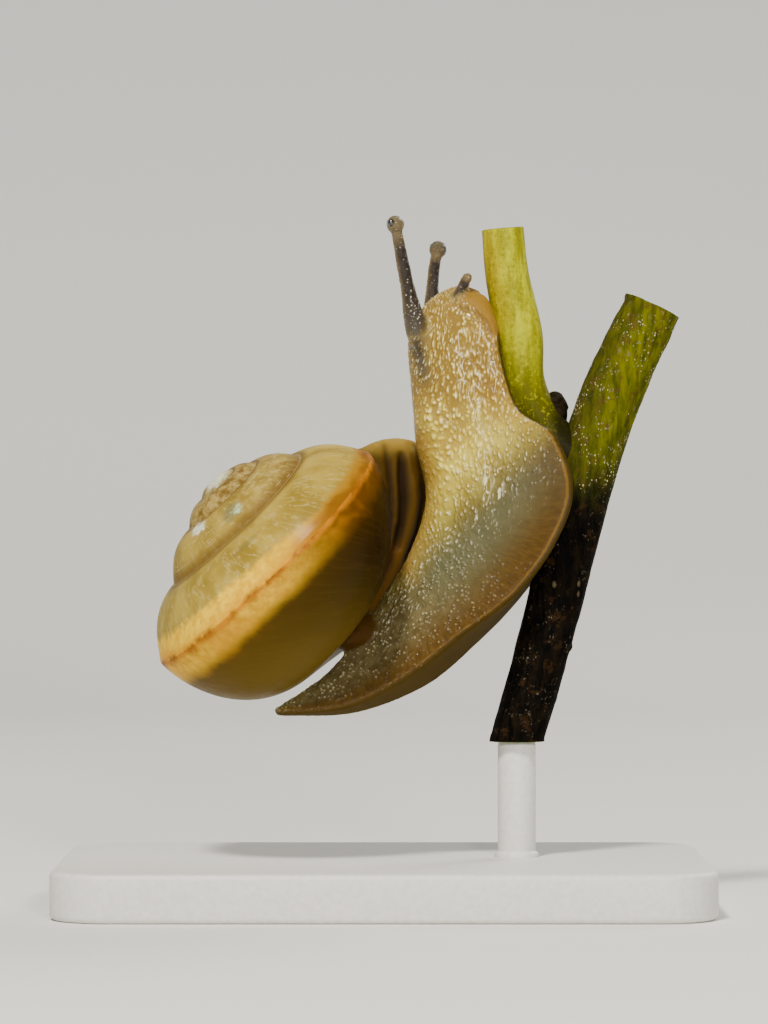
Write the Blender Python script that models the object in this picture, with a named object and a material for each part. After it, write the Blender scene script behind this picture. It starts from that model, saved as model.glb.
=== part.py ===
"""Striped land snail reaching up a leaf stalk, life size, on a small display stand.

Frame: metres, +Z up, origin at the middle of the stand's base on the floor. The snail climbs
towards +Z with its shell to -X, its sole to +X and its right side facing -Y.
The sizes below are millimetres and are scaled to metres by MM where they are used.
"""

import math

import bmesh
import bpy
import numpy as np
from mathutils import Vector

MM = 0.001
GAP = 0.3            # clearance between a piece and the neighbour that cuts it
CUT = 0.06           # half the cut between two lengths of the body, in stations

# --- shell: a keeled helicospiral of about five whorls, coiling to the right ---
APEX = (-8.75, -2.0, 22.5)
AXIS_LEAN = math.radians(130.3)    # the apex points up and to -X
AXIS_TURN = math.radians(7.6)      # and a little to -Y
KEEL_LIMIT = 15.6                  # radius the keel would grow to
KEEL_RATE = 0.419                  # growth for each half turn
KEEL_MID = 7.557                   # half turn at half that radius
DROP_SCALE = 0.27                  # depth below the apex = DROP_SCALE * radius ** DROP_POWER
DROP_POWER = 1.413
FIRST_TURN = -1.0                  # half turn where the spiral starts at the apex
HALF_TURN_STEPS = 12
LIP_STEP = 118                     # last column of the spiral: the lip of the mouth
WHORL_ARCH = 0.13                  # bulge of a whorl's upper face, as a part of its width
LIP_ARCH = 0.03                    # how much more it bulges just behind the lip
UPPER_STEPS = 5
BASE_STEPS = 8
BASE_POLE = 10.6                   # depth of the navel under the apex
BASE_POWER = 1.7                   # roundness of the base
BASE_SWELL = 3.0                   # how much deeper the base grows towards the lip
LIP_LAG = 0.34                     # the base of the lip trails the keel, in half turns
COLLAR_RISE = 1.0                  # how far the mantle's edge stands out of the mouth
COLLAR_LIFT = 0.35                 # its underside, off the mouth's plane
COLLAR_SPREAD = 0.15               # how far it laps past the lip
COLLAR_CREST = 0.85                # and how much more at the suture
COLLAR_LENGTHS = 14
COLLAR_WIDTHS = 6

# --- body: stations from tail tip to snout ---
# back x, back z, sole x, sole z, half width of the sole, half width of the back, roll in degrees
STATIONS = (
    (-5.75, 10.30, -5.70, 10.02, 0.16, 0.12, 8.0),     # tail tip
    (-5.30, 10.62, -4.95, 9.98, 0.72, 0.50, 9.0),      # end of the tail
    (-3.30, 12.00, -1.60, 10.25, 1.55, 1.10, 12.0),    # tail
    (-1.70, 13.85, 1.80, 11.75, 2.30, 1.75, 16.0),     # root of the tail
    (-0.30, 16.00, 4.55, 13.95, 2.70, 2.15, 13.0),     # rear of the foot
    (1.10, 18.15, 7.05, 16.20, 2.90, 2.35, 6.0),       # middle of the foot
    (1.95, 20.25, 9.05, 18.95, 3.00, 2.45, 4.0),       # fore foot
    (2.15, 21.95, 10.00, 21.85, 3.00, 2.45, 3.0),      # bend at the stem
    (1.68, 24.05, 9.05, 24.65, 2.80, 2.30, 2.0),       # root of the neck
    (1.53, 25.80, 7.15, 25.95, 2.50, 2.15, 0.0),       # low neck
    (1.37, 27.65, 6.47, 27.55, 2.30, 2.05, 0.0),       # middle of the neck
    (1.26, 29.45, 6.10, 29.25, 2.20, 2.00, 0.0),       # top of the neck
    (1.50, 30.55, 6.05, 30.10, 2.10, 1.95, 0.0),       # back of the head
    (2.30, 31.75, 5.85, 30.85, 1.85, 1.75, 0.0),       # brow
    (3.32, 32.42, 5.45, 31.70, 1.35, 1.25, 0.0),       # snout
    (4.15, 32.62, 4.95, 32.35, 0.55, 0.50, 0.0),       # end of the snout
)
SOLE_EDGE = 0.28                   # thickness of the thin rim round the sole
RIM_SHARPNESS = 10.0
BACK_POWER = 0.92
AROUND_BACK = 16
AROUND_SOLE = 4
STATION_STEPS = 4
TAIL_END = 3.5
REAR_END = 5.5
FORE_END = 8.5
NECK_END = 11.6

# --- feelers: root, middle, tip, then the radii there ---
FEELERS = {
    "tentacle_upper_right": ((1.75, -1.05, 30.0), (1.08, -1.35, 33.1), (0.66, -1.55, 35.38), 0.62, 0.275, 0.30),
    "tentacle_upper_left": ((2.55, 1.05, 30.9), (2.50, 1.45, 33.1), (2.78, 1.75, 34.28), 0.50, 0.275, 0.30),
    "tentacle_lower_right": ((3.65, -0.80, 31.60), (4.00, -0.98, 32.38), (4.36, -1.12, 32.94), 0.34, 0.27, 0.28),
    "tentacle_lower_left": ((3.75, 0.75, 31.65), (4.02, 0.95, 32.25), (4.28, 1.12, 32.72), 0.34, 0.27, 0.28),
}
BULB_RADIUS = 0.49                 # the swelling that holds the eye
EYE_RADIUS = 0.22
EYE_SET = 0.34                     # eye centre from the bulb's centre
EYE_GAP = 0.03
LOBE_GAP = 0.12
LIP_LOBE_RADII = (0.60, 0.72, 1.42)
LIP_LOBE_AT = (5.32, 0.92, 30.75)

# --- perch: a cut length of stem with one leaf stalk, and the display stand ---
STEM_LINE = (
    (14.2, 0.4, 31.6),
    (11.9, 0.4, 26.6),
    (10.55, 0.4, 22.6),
    (9.55, 0.4, 18.2),
    (8.35, 0.4, 13.4),
    (6.70, 0.4, 7.6),
)
STEM_RADII = (1.55, 1.66, 1.70, 1.52, 1.46, 1.42)
STEM_FOOT_Z = 8.6                  # the stem is sawn level here
STALK_LINE = (
    (6.25, 0.15, 35.6),
    (6.45, 0.15, 33.4),
    (7.10, 0.15, 30.0),
    (7.35, 0.15, 27.2),
    (8.60, 0.2, 25.0),
    (10.6, 0.3, 22.9),
)
STALK_RADII = (1.12, 1.16, 1.27, 1.22, 1.15, 1.10)
BUD_AT = (9.00, 0.20, 26.00)
BUD_RADII = (0.75, 0.68, 1.05)
BASE_SIZE = (34.0, 22.0, 2.5)
BASE_CORNER = 3.0
ROD_RADIUS = 1.0
ROD_X = 7.0


def clear_scene():
    for old in list(bpy.data.objects):
        bpy.data.objects.remove(old, do_unlink=True)


def collection(name):
    made = bpy.data.collections.new(name)
    bpy.context.scene.collection.children.link(made)
    return made


def material(name, colour, roughness, metallic=0.0):
    made = bpy.data.materials.new(name)
    made.use_nodes = True
    shader = made.node_tree.nodes["Principled BSDF"]
    shader.inputs["Base Color"].default_value = (*colour, 1.0)
    shader.inputs["Roughness"].default_value = roughness
    shader.inputs["Metallic"].default_value = metallic
    return made


def add_object(name, mesh, home, finish):
    made = bpy.data.objects.new(name, mesh)
    home.objects.link(made)
    if finish:
        mesh.materials.append(finish)
    mesh.shade_smooth()
    mesh.set_sharp_from_angle(angle=math.radians(40))
    return made


def finish_mesh(name, bm):
    """Close, weld and turn outward, then hand over as a mesh in metres."""
    bmesh.ops.remove_doubles(bm, verts=bm.verts, dist=1e-4)
    bmesh.ops.dissolve_degenerate(bm, edges=bm.edges, dist=1e-5)
    bmesh.ops.recalc_face_normals(bm, faces=bm.faces)
    bmesh.ops.scale(bm, vec=(MM, MM, MM), verts=bm.verts)
    if bm.calc_volume(signed=True) < 0:
        bmesh.ops.reverse_faces(bm, faces=bm.faces)
    mesh = bpy.data.meshes.new(name)
    bm.to_mesh(mesh)
    bm.free()
    return mesh


def as_cutter(made):
    made.hide_render = True
    made.display_type = "WIRE"
    return made


def cut_by(made, cutter):
    cut = made.modifiers.new("cut_" + cutter.name, "BOOLEAN")
    cut.operation = "DIFFERENCE"
    cut.solver = "EXACT"
    cut.object = cutter


def smoothstep(low, high, value):
    part = min(max((value - low) / (high - low), 0.0), 1.0)
    return part * part * (3.0 - 2.0 * part)


# ---------------------------------------------------------------- shell

def shell_axes():
    axis = Vector((
        math.cos(AXIS_LEAN) * math.cos(AXIS_TURN),
        -math.sin(AXIS_TURN),
        math.sin(AXIS_LEAN) * math.cos(AXIS_TURN),
    ))
    right = Vector((math.sin(AXIS_LEAN), 0.0, -math.cos(AXIS_LEAN)))
    return axis, right, axis.cross(right)


SHELL_AXIS, SHELL_RIGHT, SHELL_FAR = shell_axes()


def keel(turn):
    """Radius and depth of the keel after this many half turns."""
    start = math.sin(math.pi / 2.0 * min((turn - FIRST_TURN) / 2.5, 1.0))
    radius = start * KEEL_LIMIT / (1.0 + math.exp(-KEEL_RATE * (turn - KEEL_MID)))
    return radius, DROP_SCALE * radius ** DROP_POWER


def shell_point(turn, radius, depth):
    angle = -(turn - 7.0) * math.pi
    return (
        Vector(APEX)
        - SHELL_AXIS * depth
        + SHELL_RIGHT * (radius * math.cos(angle))
        + SHELL_FAR * (radius * math.sin(angle))
    )


def upper_point(turn, part, grow=0.0):
    """A whorl's upper face: part 0 is the suture, part 1 the keel."""
    inner_r, inner_z = keel(turn - 2.0) if turn >= FIRST_TURN + 2.0 else (0.0, 0.0)
    outer_r, outer_z = keel(turn)
    run, fall = outer_r - inner_r, outer_z - inner_z
    arch = (WHORL_ARCH + LIP_ARCH * smoothstep(8.0, 8.8, turn)) * math.sin(math.pi * part ** 0.85)
    lift = grow * smoothstep(3.0, 5.0, turn)
    radius = inner_r + run * part + fall * arch + lift * (0.25 + 0.75 * part)
    depth = inner_z + fall * part - run * arch - lift * (1.0 - 0.6 * part)
    return shell_point(turn, radius, depth)


def base_point(turn, part, grow=0.0):
    """The base: part 0 is the keel, part 1 the navel. Later growth lies deeper."""
    turn = turn - LIP_LAG * smoothstep(0.0, 1.0, part)
    radius, depth = keel(turn)
    bend = part * math.pi / 2.0
    power = 2.0 / BASE_POWER
    reach = math.cos(bend) ** power if part < 1.0 else 0.0
    fall = math.sin(bend) ** power
    swell = BASE_SWELL * smoothstep(6.8, 9.1, turn) * math.sin(math.pi * part) ** 1.2
    lift = grow * smoothstep(3.0, 5.0, turn)
    return shell_point(
        turn,
        (radius + lift) * reach,
        depth + (BASE_POLE - depth + lift) * fall + swell + 0.35 * lift * (1.0 - part),
    )


def lip_turn():
    return FIRST_TURN + LIP_STEP / HALF_TURN_STEPS


def mouth_edges(count):
    """The mouth's inner wall and its outer lip, each from the suture round to the navel."""
    lip = lip_turn()
    inner, outer = [], []
    for i in range(count + 1):
        part = 0.04 + 0.92 * i / count
        inner.append(base_point(lip - 2.0, part))
        if part < 0.3:
            outer.append(upper_point(lip, part / 0.3))
        else:
            outer.append(base_point(lip, (part - 0.3) / 0.7))
    return inner, outer


def shell_mesh(name, grow=0.0):
    """Every whorl's upper face, the last whorl's base and a face over the mouth, as one body."""
    bm = bmesh.new()
    turns = [FIRST_TURN + i / HALF_TURN_STEPS for i in range(LIP_STEP + 1)]
    upper = [
        [bm.verts.new(upper_point(turn, i / UPPER_STEPS, grow)) for i in range(UPPER_STEPS + 1)]
        for turn in turns
    ]
    back = 2 * HALF_TURN_STEPS
    for column in range(LIP_STEP + 1):
        # The suture of one whorl is the keel of the whorl before it.
        if column >= back:
            upper[column][0].co = upper[column - back][-1].co
    for left, right in zip(upper, upper[1:]):
        for i in range(UPPER_STEPS):
            bm.faces.new((left[i], left[i + 1], right[i + 1], right[i]))
    first = LIP_STEP - back
    base = []
    for column in range(first, LIP_STEP + 1):
        points = [
            bm.verts.new(base_point(turns[column], i / BASE_STEPS, grow))
            for i in range(BASE_STEPS + 1)
        ]
        points[0].co = upper[column][-1].co
        base.append(points)
    for left, right in zip(base, base[1:]):
        for i in range(BASE_STEPS):
            bm.faces.new((left[i], left[i + 1], right[i + 1], right[i]))
    bmesh.ops.remove_doubles(bm, verts=bm.verts, dist=1e-3)
    open_edges = [edge for edge in bm.edges if edge.is_boundary]
    bmesh.ops.holes_fill(bm, edges=open_edges, sides=0)
    bmesh.ops.triangulate(bm, faces=[face for face in bm.faces if len(face.verts) > 4])
    return finish_mesh(name, bm)


def collar_mesh(name, grow=0.0):
    """The mantle's edge: a rounded pad that fills the mouth and stands out of it."""
    inner, outer = mouth_edges(COLLAR_LENGTHS)
    normal = Vector()
    for i in range(COLLAR_LENGTHS):
        normal += (outer[i + 1] - inner[i]).cross(outer[i] - inner[i + 1])
    normal.normalize()
    if normal.y > 0:
        normal.negate()
    bm = bmesh.new()
    top, bottom = [], []
    for i, (low, high) in enumerate(zip(inner, outer)):
        along = math.sin(math.pi * (i + 0.5) / (COLLAR_LENGTHS + 1.0)) ** 0.35
        across = (high - low).normalized()
        low = low - across * grow
        crest = COLLAR_CREST * math.sin(math.pi * min((i + 0.3) / 7.0, 1.0)) ** 1.5
        high = high + across * (grow + COLLAR_SPREAD + crest)
        top.append([])
        bottom.append([])
        for j in range(COLLAR_WIDTHS + 1):
            part = j / COLLAR_WIDTHS
            place = low.lerp(high, part)
            dome = (1.0 - abs(2.0 * part - 1.0) ** 3.0) ** 0.5 if 0 < j < COLLAR_WIDTHS else 0.0
            top[-1].append(bm.verts.new(place + normal * (COLLAR_LIFT + 0.25 + grow + COLLAR_RISE * dome * along)))
            bottom[-1].append(bm.verts.new(place + normal * (COLLAR_LIFT - grow)))
    last = COLLAR_LENGTHS
    for i in range(last):
        for j in range(COLLAR_WIDTHS):
            bm.faces.new((top[i][j], top[i + 1][j], top[i + 1][j + 1], top[i][j + 1]))
            bm.faces.new((bottom[i][j], bottom[i][j + 1], bottom[i + 1][j + 1], bottom[i + 1][j]))
        for j in (0, COLLAR_WIDTHS):
            bm.faces.new((top[i][j], bottom[i][j], bottom[i + 1][j], top[i + 1][j]))
    for i in (0, last):
        for j in range(COLLAR_WIDTHS):
            bm.faces.new((top[i][j], top[i][j + 1], bottom[i][j + 1], bottom[i][j]))
    return finish_mesh(name, bm)


# ---------------------------------------------------------------- body

def at_station(where):
    """All the sizes at any place between two stations, on a smooth curve through them."""
    rows = np.array(STATIONS)
    last = len(rows) - 1
    where = min(max(where, 0.0), float(last))
    low = min(int(where), last - 1)
    part = where - low
    before, start = rows[max(low - 1, 0)], rows[low]
    end, after = rows[low + 1], rows[min(low + 2, last)]
    lean, lean_end = (end - before) / 2.0, (after - start) / 2.0
    square, cube = part * part, part ** 3
    return (
        (2 * cube - 3 * square + 1) * start
        + (cube - 2 * square + part) * lean
        + (3 * square - 2 * cube) * end
        + (cube - square) * lean_end
    )


def body_ring(where, grow=0.0):
    """One cross section: a round back over a flat sole with a thin rim on each side."""
    back_x, back_z, sole_x, sole_z, rim, flank, roll = at_station(where)
    sole = Vector((sole_x, 0.0, sole_z))
    up = Vector((back_x, 0.0, back_z)) - sole
    height = up.length + grow
    up.normalize()
    turn = math.radians(roll)
    # The roll lifts the right rim (-Y) towards the back.
    across = Vector((0.0, -1.0, 0.0)) * math.cos(turn) + up * math.sin(turn)
    lift = across.cross(Vector((0.0, 1.0, 0.0)).cross(up)).normalized()
    lift = up if lift.dot(up) < 0.5 else (up - across * up.dot(across)).normalized()
    rim += grow
    flank += grow
    points = []
    for i in range(AROUND_BACK + 1):
        angle = math.pi * i / AROUND_BACK
        cosine, sine = math.cos(angle), math.sin(angle)
        side = flank * cosine + (rim - flank) * math.copysign(abs(cosine) ** RIM_SHARPNESS, cosine)
        high = SOLE_EDGE + (height - SOLE_EDGE) * max(sine, 0.0) ** BACK_POWER
        points.append(sole + across * side + lift * high)
    for i in range(AROUND_SOLE + 1):
        side = -rim + 2.0 * rim * i / AROUND_SOLE
        points.append(sole + across * side * 0.97 - lift * grow)
    return points


def body_mesh(name, start, end, grow=0.0):
    """A closed length of the body between two stations."""
    count = max(3, int(round((end - start) * STATION_STEPS)))
    bm = bmesh.new()
    rings = []
    for i in range(count + 1):
        points = body_ring(start + (end - start) * i / count, grow)
        rings.append([bm.verts.new(point) for point in points])
    for lower, upper in zip(rings, rings[1:]):
        for i in range(len(lower)):
            j = (i + 1) % len(lower)
            bm.faces.new((lower[i], lower[j], upper[j], upper[i]))
    bm.faces.new(rings[0])
    bm.faces.new(rings[-1])
    return finish_mesh(name, bm)


# ---------------------------------------------------------------- feelers, eyes, perch

def ball_mesh(name, centre, radii, rings=10, segments=16):
    bm = bmesh.new()
    bmesh.ops.create_uvsphere(bm, u_segments=segments, v_segments=rings, radius=1.0)
    bmesh.ops.scale(bm, vec=radii, verts=bm.verts)
    bmesh.ops.translate(bm, vec=centre, verts=bm.verts)
    return finish_mesh(name, bm)


def tube(name, line, radii, home, finish, sides=3, steps=4):
    """A round rod along a smooth line, made a mesh so that it can be cut."""
    curve = bpy.data.curves.new(name, "CURVE")
    curve.dimensions = "3D"
    curve.bevel_depth = MM
    curve.bevel_resolution = sides
    curve.resolution_u = steps
    curve.use_fill_caps = True
    spline = curve.splines.new("BEZIER")
    spline.bezier_points.add(len(line) - 1)
    for point, place, radius in zip(spline.bezier_points, line, radii):
        point.co = Vector(place) * MM
        point.radius = radius
        point.handle_left_type = "AUTO"
        point.handle_right_type = "AUTO"
    guide = bpy.data.objects.new(name + "_guide", curve)
    home.objects.link(guide)
    bpy.context.view_layer.update()
    graph = bpy.context.evaluated_depsgraph_get()
    mesh = bpy.data.meshes.new_from_object(guide.evaluated_get(graph))
    mesh.name = name
    mesh.materials.clear()
    bm = bmesh.new()
    bm.from_mesh(mesh)
    bmesh.ops.remove_doubles(bm, verts=bm.verts, dist=1e-7)
    bmesh.ops.recalc_face_normals(bm, faces=bm.faces)
    bm.to_mesh(mesh)
    bm.free()
    place = guide.matrix_world.copy()
    bpy.data.objects.remove(guide, do_unlink=True)
    made = add_object(name, mesh, home, finish)
    made.matrix_world = place
    return made


def feeler_mesh(name, root, middle, tip, radii, bulb):
    """A tapered stalk with a rounded tip, swollen to a bulb on the long feelers."""
    root, middle, tip = Vector(root), Vector(middle), Vector(tip)
    along = (tip - middle).normalized()
    steps = 12 if bulb else 7
    path = []
    for i in range(steps + 1):
        part = i / steps
        centre = root * (1 - part) ** 2 + middle * 2 * part * (1 - part) + tip * part ** 2
        if part < 0.5:
            radius = radii[0] + (radii[1] - radii[0]) * smoothstep(0.0, 0.5, part)
        else:
            radius = radii[1] + (radii[2] - radii[1]) * smoothstep(0.5, 1.0, part)
        path.append((centre, radius))
    end = max(bulb, radii[2])
    centre = tip + along * (end * 0.7 if bulb else 0.0)
    for i in range(1, 6):
        angle = math.radians(-50 + 140 * i / 6) if bulb else math.radians(90 * i / 6)
        path.append((centre + along * end * math.sin(angle), end * math.cos(angle)))
    pole = centre + along * end
    side = along.cross(Vector((0.0, 1.0, 0.0))).normalized()
    other = along.cross(side).normalized()
    bm = bmesh.new()
    rings = []
    for place, radius in path:
        rings.append([
            bm.verts.new(place + (side * math.cos(a) + other * math.sin(a)) * radius)
            for a in (math.tau * i / 12 for i in range(12))
        ])
    for lower, upper in zip(rings, rings[1:]):
        for i in range(12):
            j = (i + 1) % 12
            bm.faces.new((lower[i], lower[j], upper[j], upper[i]))
    top = bm.verts.new(pole)
    for i in range(12):
        bm.faces.new((rings[-1][i], rings[-1][(i + 1) % 12], top))
    bm.faces.new(rings[0])
    return finish_mesh(name, bm), centre, along


def base_mesh(name):
    bm = bmesh.new()
    bmesh.ops.create_cube(bm, size=1.0)
    bmesh.ops.scale(bm, vec=BASE_SIZE, verts=bm.verts)
    bmesh.ops.translate(bm, vec=(0.0, 0.0, BASE_SIZE[2] / 2), verts=bm.verts)
    upright = [
        edge for edge in bm.edges
        if abs(edge.verts[0].co.z - edge.verts[1].co.z) > 0.5 * BASE_SIZE[2]
    ]
    bmesh.ops.bevel(bm, geom=upright, offset=BASE_CORNER, segments=6, affect="EDGES", profile=0.5)
    rim = [edge for edge in bm.edges if min(vert.co.z for vert in edge.verts) > BASE_SIZE[2] - 1e-4]
    rim = [edge for edge in rim if len(edge.link_faces) == 2 and edge.calc_face_angle() > 0.5]
    bmesh.ops.bevel(bm, geom=rim, offset=0.35, segments=2, affect="EDGES", profile=0.5)
    return finish_mesh(name, bm)


def build():
    clear_scene()
    parts = collection("striped_snail")
    cutters = collection("cutters")

    flesh = material("flesh", (0.43, 0.32, 0.16), 0.35)
    shell_finish = material("shell", (0.35, 0.24, 0.09), 0.25)
    eye_finish = material("eye", (0.02, 0.015, 0.012), 0.1)
    bark = material("bark", (0.06, 0.05, 0.02), 0.8)
    stalk_green = material("stalk", (0.33, 0.28, 0.02), 0.5)
    stand_finish = material("stand", (0.55, 0.54, 0.52), 0.5)

    shell = add_object("shell", shell_mesh("shell"), parts, shell_finish)
    shell_room = as_cutter(add_object("shell_room", shell_mesh("shell_room", GAP), cutters, None))
    collar = add_object("mantle_collar", collar_mesh("mantle_collar"), parts, flesh)
    cut_by(collar, shell_room)
    collar_room = as_cutter(add_object("collar_room", collar_mesh("collar_room", GAP), cutters, None))

    stem = tube("perch_stem", STEM_LINE, STEM_RADII, parts, bark)
    stalk = tube("perch_leaf_stalk", STALK_LINE, STALK_RADII, parts, stalk_green)
    bm = bmesh.new()
    bmesh.ops.create_cube(bm, size=6.0)
    bmesh.ops.translate(bm, vec=(STEM_LINE[-1][0], STEM_LINE[-1][1], STEM_FOOT_Z - 3.0), verts=bm.verts)
    cut_by(stem, as_cutter(add_object("stem_saw", finish_mesh("stem_saw", bm), cutters, None)))
    stem_room = as_cutter(tube("stem_room", STEM_LINE, [r + GAP for r in STEM_RADII], cutters, None))
    stalk_room = as_cutter(tube("stalk_room", STALK_LINE, [r + GAP for r in STALK_RADII], cutters, None))
    cut_by(stalk, stem_room)
    bud = add_object("perch_bud", ball_mesh("perch_bud", BUD_AT, BUD_RADII), parts, bark)
    cut_by(bud, stem_room)
    cut_by(bud, stalk_room)
    bud_room = as_cutter(add_object(
        "bud_room", ball_mesh("bud_room", BUD_AT, [r + GAP for r in BUD_RADII]), cutters, None))

    perch_rooms = [stem_room, stalk_room, bud_room]
    lengths = {
        "tail": (0.0, TAIL_END - CUT, [shell_room, collar_room]),
        "foot_rear": (TAIL_END + CUT, REAR_END - CUT, [shell_room, collar_room, stem_room]),
        "foot_front": (REAR_END + CUT, FORE_END - CUT, perch_rooms + [shell_room, collar_room]),
        "neck": (FORE_END + CUT, NECK_END - CUT, perch_rooms + [shell_room, collar_room]),
        "head": (NECK_END + CUT, len(STATIONS) - 1.0, [stalk_room]),
    }
    lobe_rooms = []
    for side, way in (("right", -1.0), ("left", 1.0)):
        place = (LIP_LOBE_AT[0], LIP_LOBE_AT[1] * way, LIP_LOBE_AT[2])
        name = "lip_" + side
        lobe = add_object(name, ball_mesh(name, place, LIP_LOBE_RADII), parts, flesh)
        cut_by(lobe, stalk_room)
        room = ball_mesh(name + "_room", place, [r + LOBE_GAP for r in LIP_LOBE_RADII])
        lobe_rooms.append(as_cutter(add_object(name + "_room", room, cutters, None)))
    lengths["head"][2].extend(lobe_rooms)
    lengths["neck"][2].extend(lobe_rooms)
    for name, (start, end, rooms) in lengths.items():
        made = add_object(name, body_mesh(name, start, end), parts, flesh)
        for room in rooms:
            cut_by(made, room)
    head_room = as_cutter(add_object(
        "head_room", body_mesh("head_room", NECK_END - 2.0, len(STATIONS) - 1.0, 0.12), cutters, None))

    for name, (root, middle, tip, *radii) in FEELERS.items():
        bulb = BULB_RADIUS if "upper" in name else 0.0
        mesh, centre, along = feeler_mesh(name, root, middle, tip, radii, bulb)
        feeler = add_object(name, mesh, parts, flesh)
        cut_by(feeler, head_room)
        if not bulb:
            continue
        outward = Vector((0.0, -1.0 if "right" in name else 1.0, 0.0))
        look = (along * 0.15 + outward * 0.7 - Vector((0.5, 0.0, 0.0))).normalized()
        seat = centre + look * EYE_SET
        side = name.rsplit("_", 1)[1]
        eye = ball_mesh("eye_" + side, seat, [EYE_RADIUS] * 3, 8, 12)
        add_object("eye_" + side, eye, parts, eye_finish)
        room = ball_mesh("eye_room_" + side, seat, [EYE_RADIUS + EYE_GAP] * 3, 8, 12)
        cut_by(feeler, as_cutter(add_object("eye_room_" + side, room, cutters, None)))

    add_object("stand_base", base_mesh("stand_base"), parts, stand_finish)
    foot = Vector((ROD_X, STEM_LINE[-1][1], 0.0))
    rod_low = BASE_SIZE[2] + GAP
    rod_high = STEM_FOOT_Z - GAP
    bm = bmesh.new()
    bmesh.ops.create_cone(
        bm, cap_ends=True, segments=24, radius1=ROD_RADIUS, radius2=ROD_RADIUS, depth=rod_high - rod_low)
    bmesh.ops.translate(bm, vec=(foot.x, foot.y, (rod_low + rod_high) / 2), verts=bm.verts)
    add_object("stand_rod", finish_mesh("stand_rod", bm), parts, stand_finish)


build()
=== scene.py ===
"""Striped land snail reaching up a leaf stalk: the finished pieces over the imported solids.

Shapes are worked out in millimetres, in the solids' own frame, and turned to metres when done.
"""

import math

import bmesh
import bpy
import numpy as np
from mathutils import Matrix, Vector, kdtree


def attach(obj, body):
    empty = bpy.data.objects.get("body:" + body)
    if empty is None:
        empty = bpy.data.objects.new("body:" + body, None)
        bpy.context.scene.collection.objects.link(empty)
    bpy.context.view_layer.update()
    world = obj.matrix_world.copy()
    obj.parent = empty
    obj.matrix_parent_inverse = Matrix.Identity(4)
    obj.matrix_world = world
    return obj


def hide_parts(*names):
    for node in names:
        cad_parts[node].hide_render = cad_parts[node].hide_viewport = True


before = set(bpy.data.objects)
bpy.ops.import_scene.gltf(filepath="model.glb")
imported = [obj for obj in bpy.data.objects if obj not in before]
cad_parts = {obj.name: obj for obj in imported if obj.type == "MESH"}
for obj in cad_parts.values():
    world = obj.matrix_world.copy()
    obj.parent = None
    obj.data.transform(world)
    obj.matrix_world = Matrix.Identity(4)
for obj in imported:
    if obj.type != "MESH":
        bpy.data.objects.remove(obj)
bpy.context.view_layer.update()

MM = 0.001

# --- shell: the same keeled spiral as the solid ---
APEX = (-8.75, -2.0, 22.5)
AXIS_LEAN = math.radians(130.3)
AXIS_TURN = math.radians(7.6)
KEEL_LIMIT = 15.6
KEEL_RATE = 0.419
KEEL_MID = 7.557
DROP_SCALE = 0.27
DROP_POWER = 1.413
FIRST_TURN = -1.0
START_TURNS = 2.5                  # half turns over which the tip of the spire opens
RIGHT_TURN = 7.0                   # where the keel points to the shell's right
LIP_TURN = 8.0 + 10.0 / 12.0
WHORL_ARCH = 0.13
LIP_ARCH = 0.03
LIP_ARCH_TURNS = (8.0, 8.8)
BASE_POLE = 10.6
BASE_POWER = 1.7
BASE_SWELL = 3.0
SWELL_TURNS = (6.8, 9.1)
SWELL_POWER = 1.2
LIP_LAG = 0.34
TURN_STEPS = 48
UPPER_ROWS = 16
BASE_ROWS = 34

# --- mantle edge ---
COLLAR_RISE = 1.0
COLLAR_LIFT = 0.35
COLLAR_SPREAD = 0.15
COLLAR_CREST = 0.85
COLLAR_TUCK = 0.35                 # how far the mantle goes into the mouth
COLLAR_SPAN = (0.04, 0.96)         # the part of the lip that it lines
COLLAR_TOP_SHARE = 0.3             # how much of the lip is the whorl's upper face
COLLAR_STEPS = 14.0                # the solid's lengths along the lip, by which it swells
ROOT_LUMP_AT = (-1.40, 0.60, 14.30)

# --- body: stations from tail tip to snout ---
# back x, back z, sole x, sole z, half width of the sole, half width of the back, roll in degrees
STATIONS = (
    (-5.75, 10.30, -5.70, 10.02, 0.16, 0.12, 8.0),
    (-5.30, 10.62, -4.95, 9.98, 0.72, 0.50, 9.0),
    (-3.30, 12.00, -1.60, 10.25, 1.55, 1.10, 12.0),
    (-1.70, 13.85, 1.80, 11.75, 2.30, 1.75, 16.0),
    (-0.30, 16.00, 4.55, 13.95, 2.70, 2.15, 13.0),
    (1.10, 18.15, 7.05, 16.20, 2.90, 2.35, 6.0),
    (1.95, 20.25, 9.05, 18.95, 3.00, 2.45, 4.0),
    (2.15, 21.95, 10.00, 21.85, 3.00, 2.45, 3.0),
    (1.68, 24.05, 9.05, 24.65, 2.80, 2.30, 2.0),
    (1.53, 25.80, 7.15, 25.95, 2.50, 2.15, 0.0),
    (1.37, 27.65, 6.47, 27.55, 2.30, 2.05, 0.0),
    (1.26, 29.45, 6.10, 29.25, 2.20, 2.00, 0.0),
    (1.50, 30.55, 6.05, 30.10, 2.10, 1.95, 0.0),
    (2.30, 31.75, 5.85, 30.85, 1.85, 1.75, 0.0),
    (3.32, 32.42, 5.45, 31.70, 1.35, 1.25, 0.0),
    (4.15, 32.62, 4.95, 32.35, 0.55, 0.50, 0.0),
)
SOLE_EDGE = 0.28
RIM_SHARPNESS = 10.0
BACK_POWER = 0.92
SKIN_GRAIN = 0.097                 # mesh size of the finished skin
SKIN_PASSES = 5                    # smoothing passes over the whole skin, each in and out again
SMOOTH_IN, SMOOTH_OUT = 0.55, 0.57
JOIN_PASSES = 14                   # further passes where two parts meet
JOIN_PULL = 0.6
KIND_PASSES = 5
MASK_PASSES = 2
GRAIN_SINK = 0.02

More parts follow.
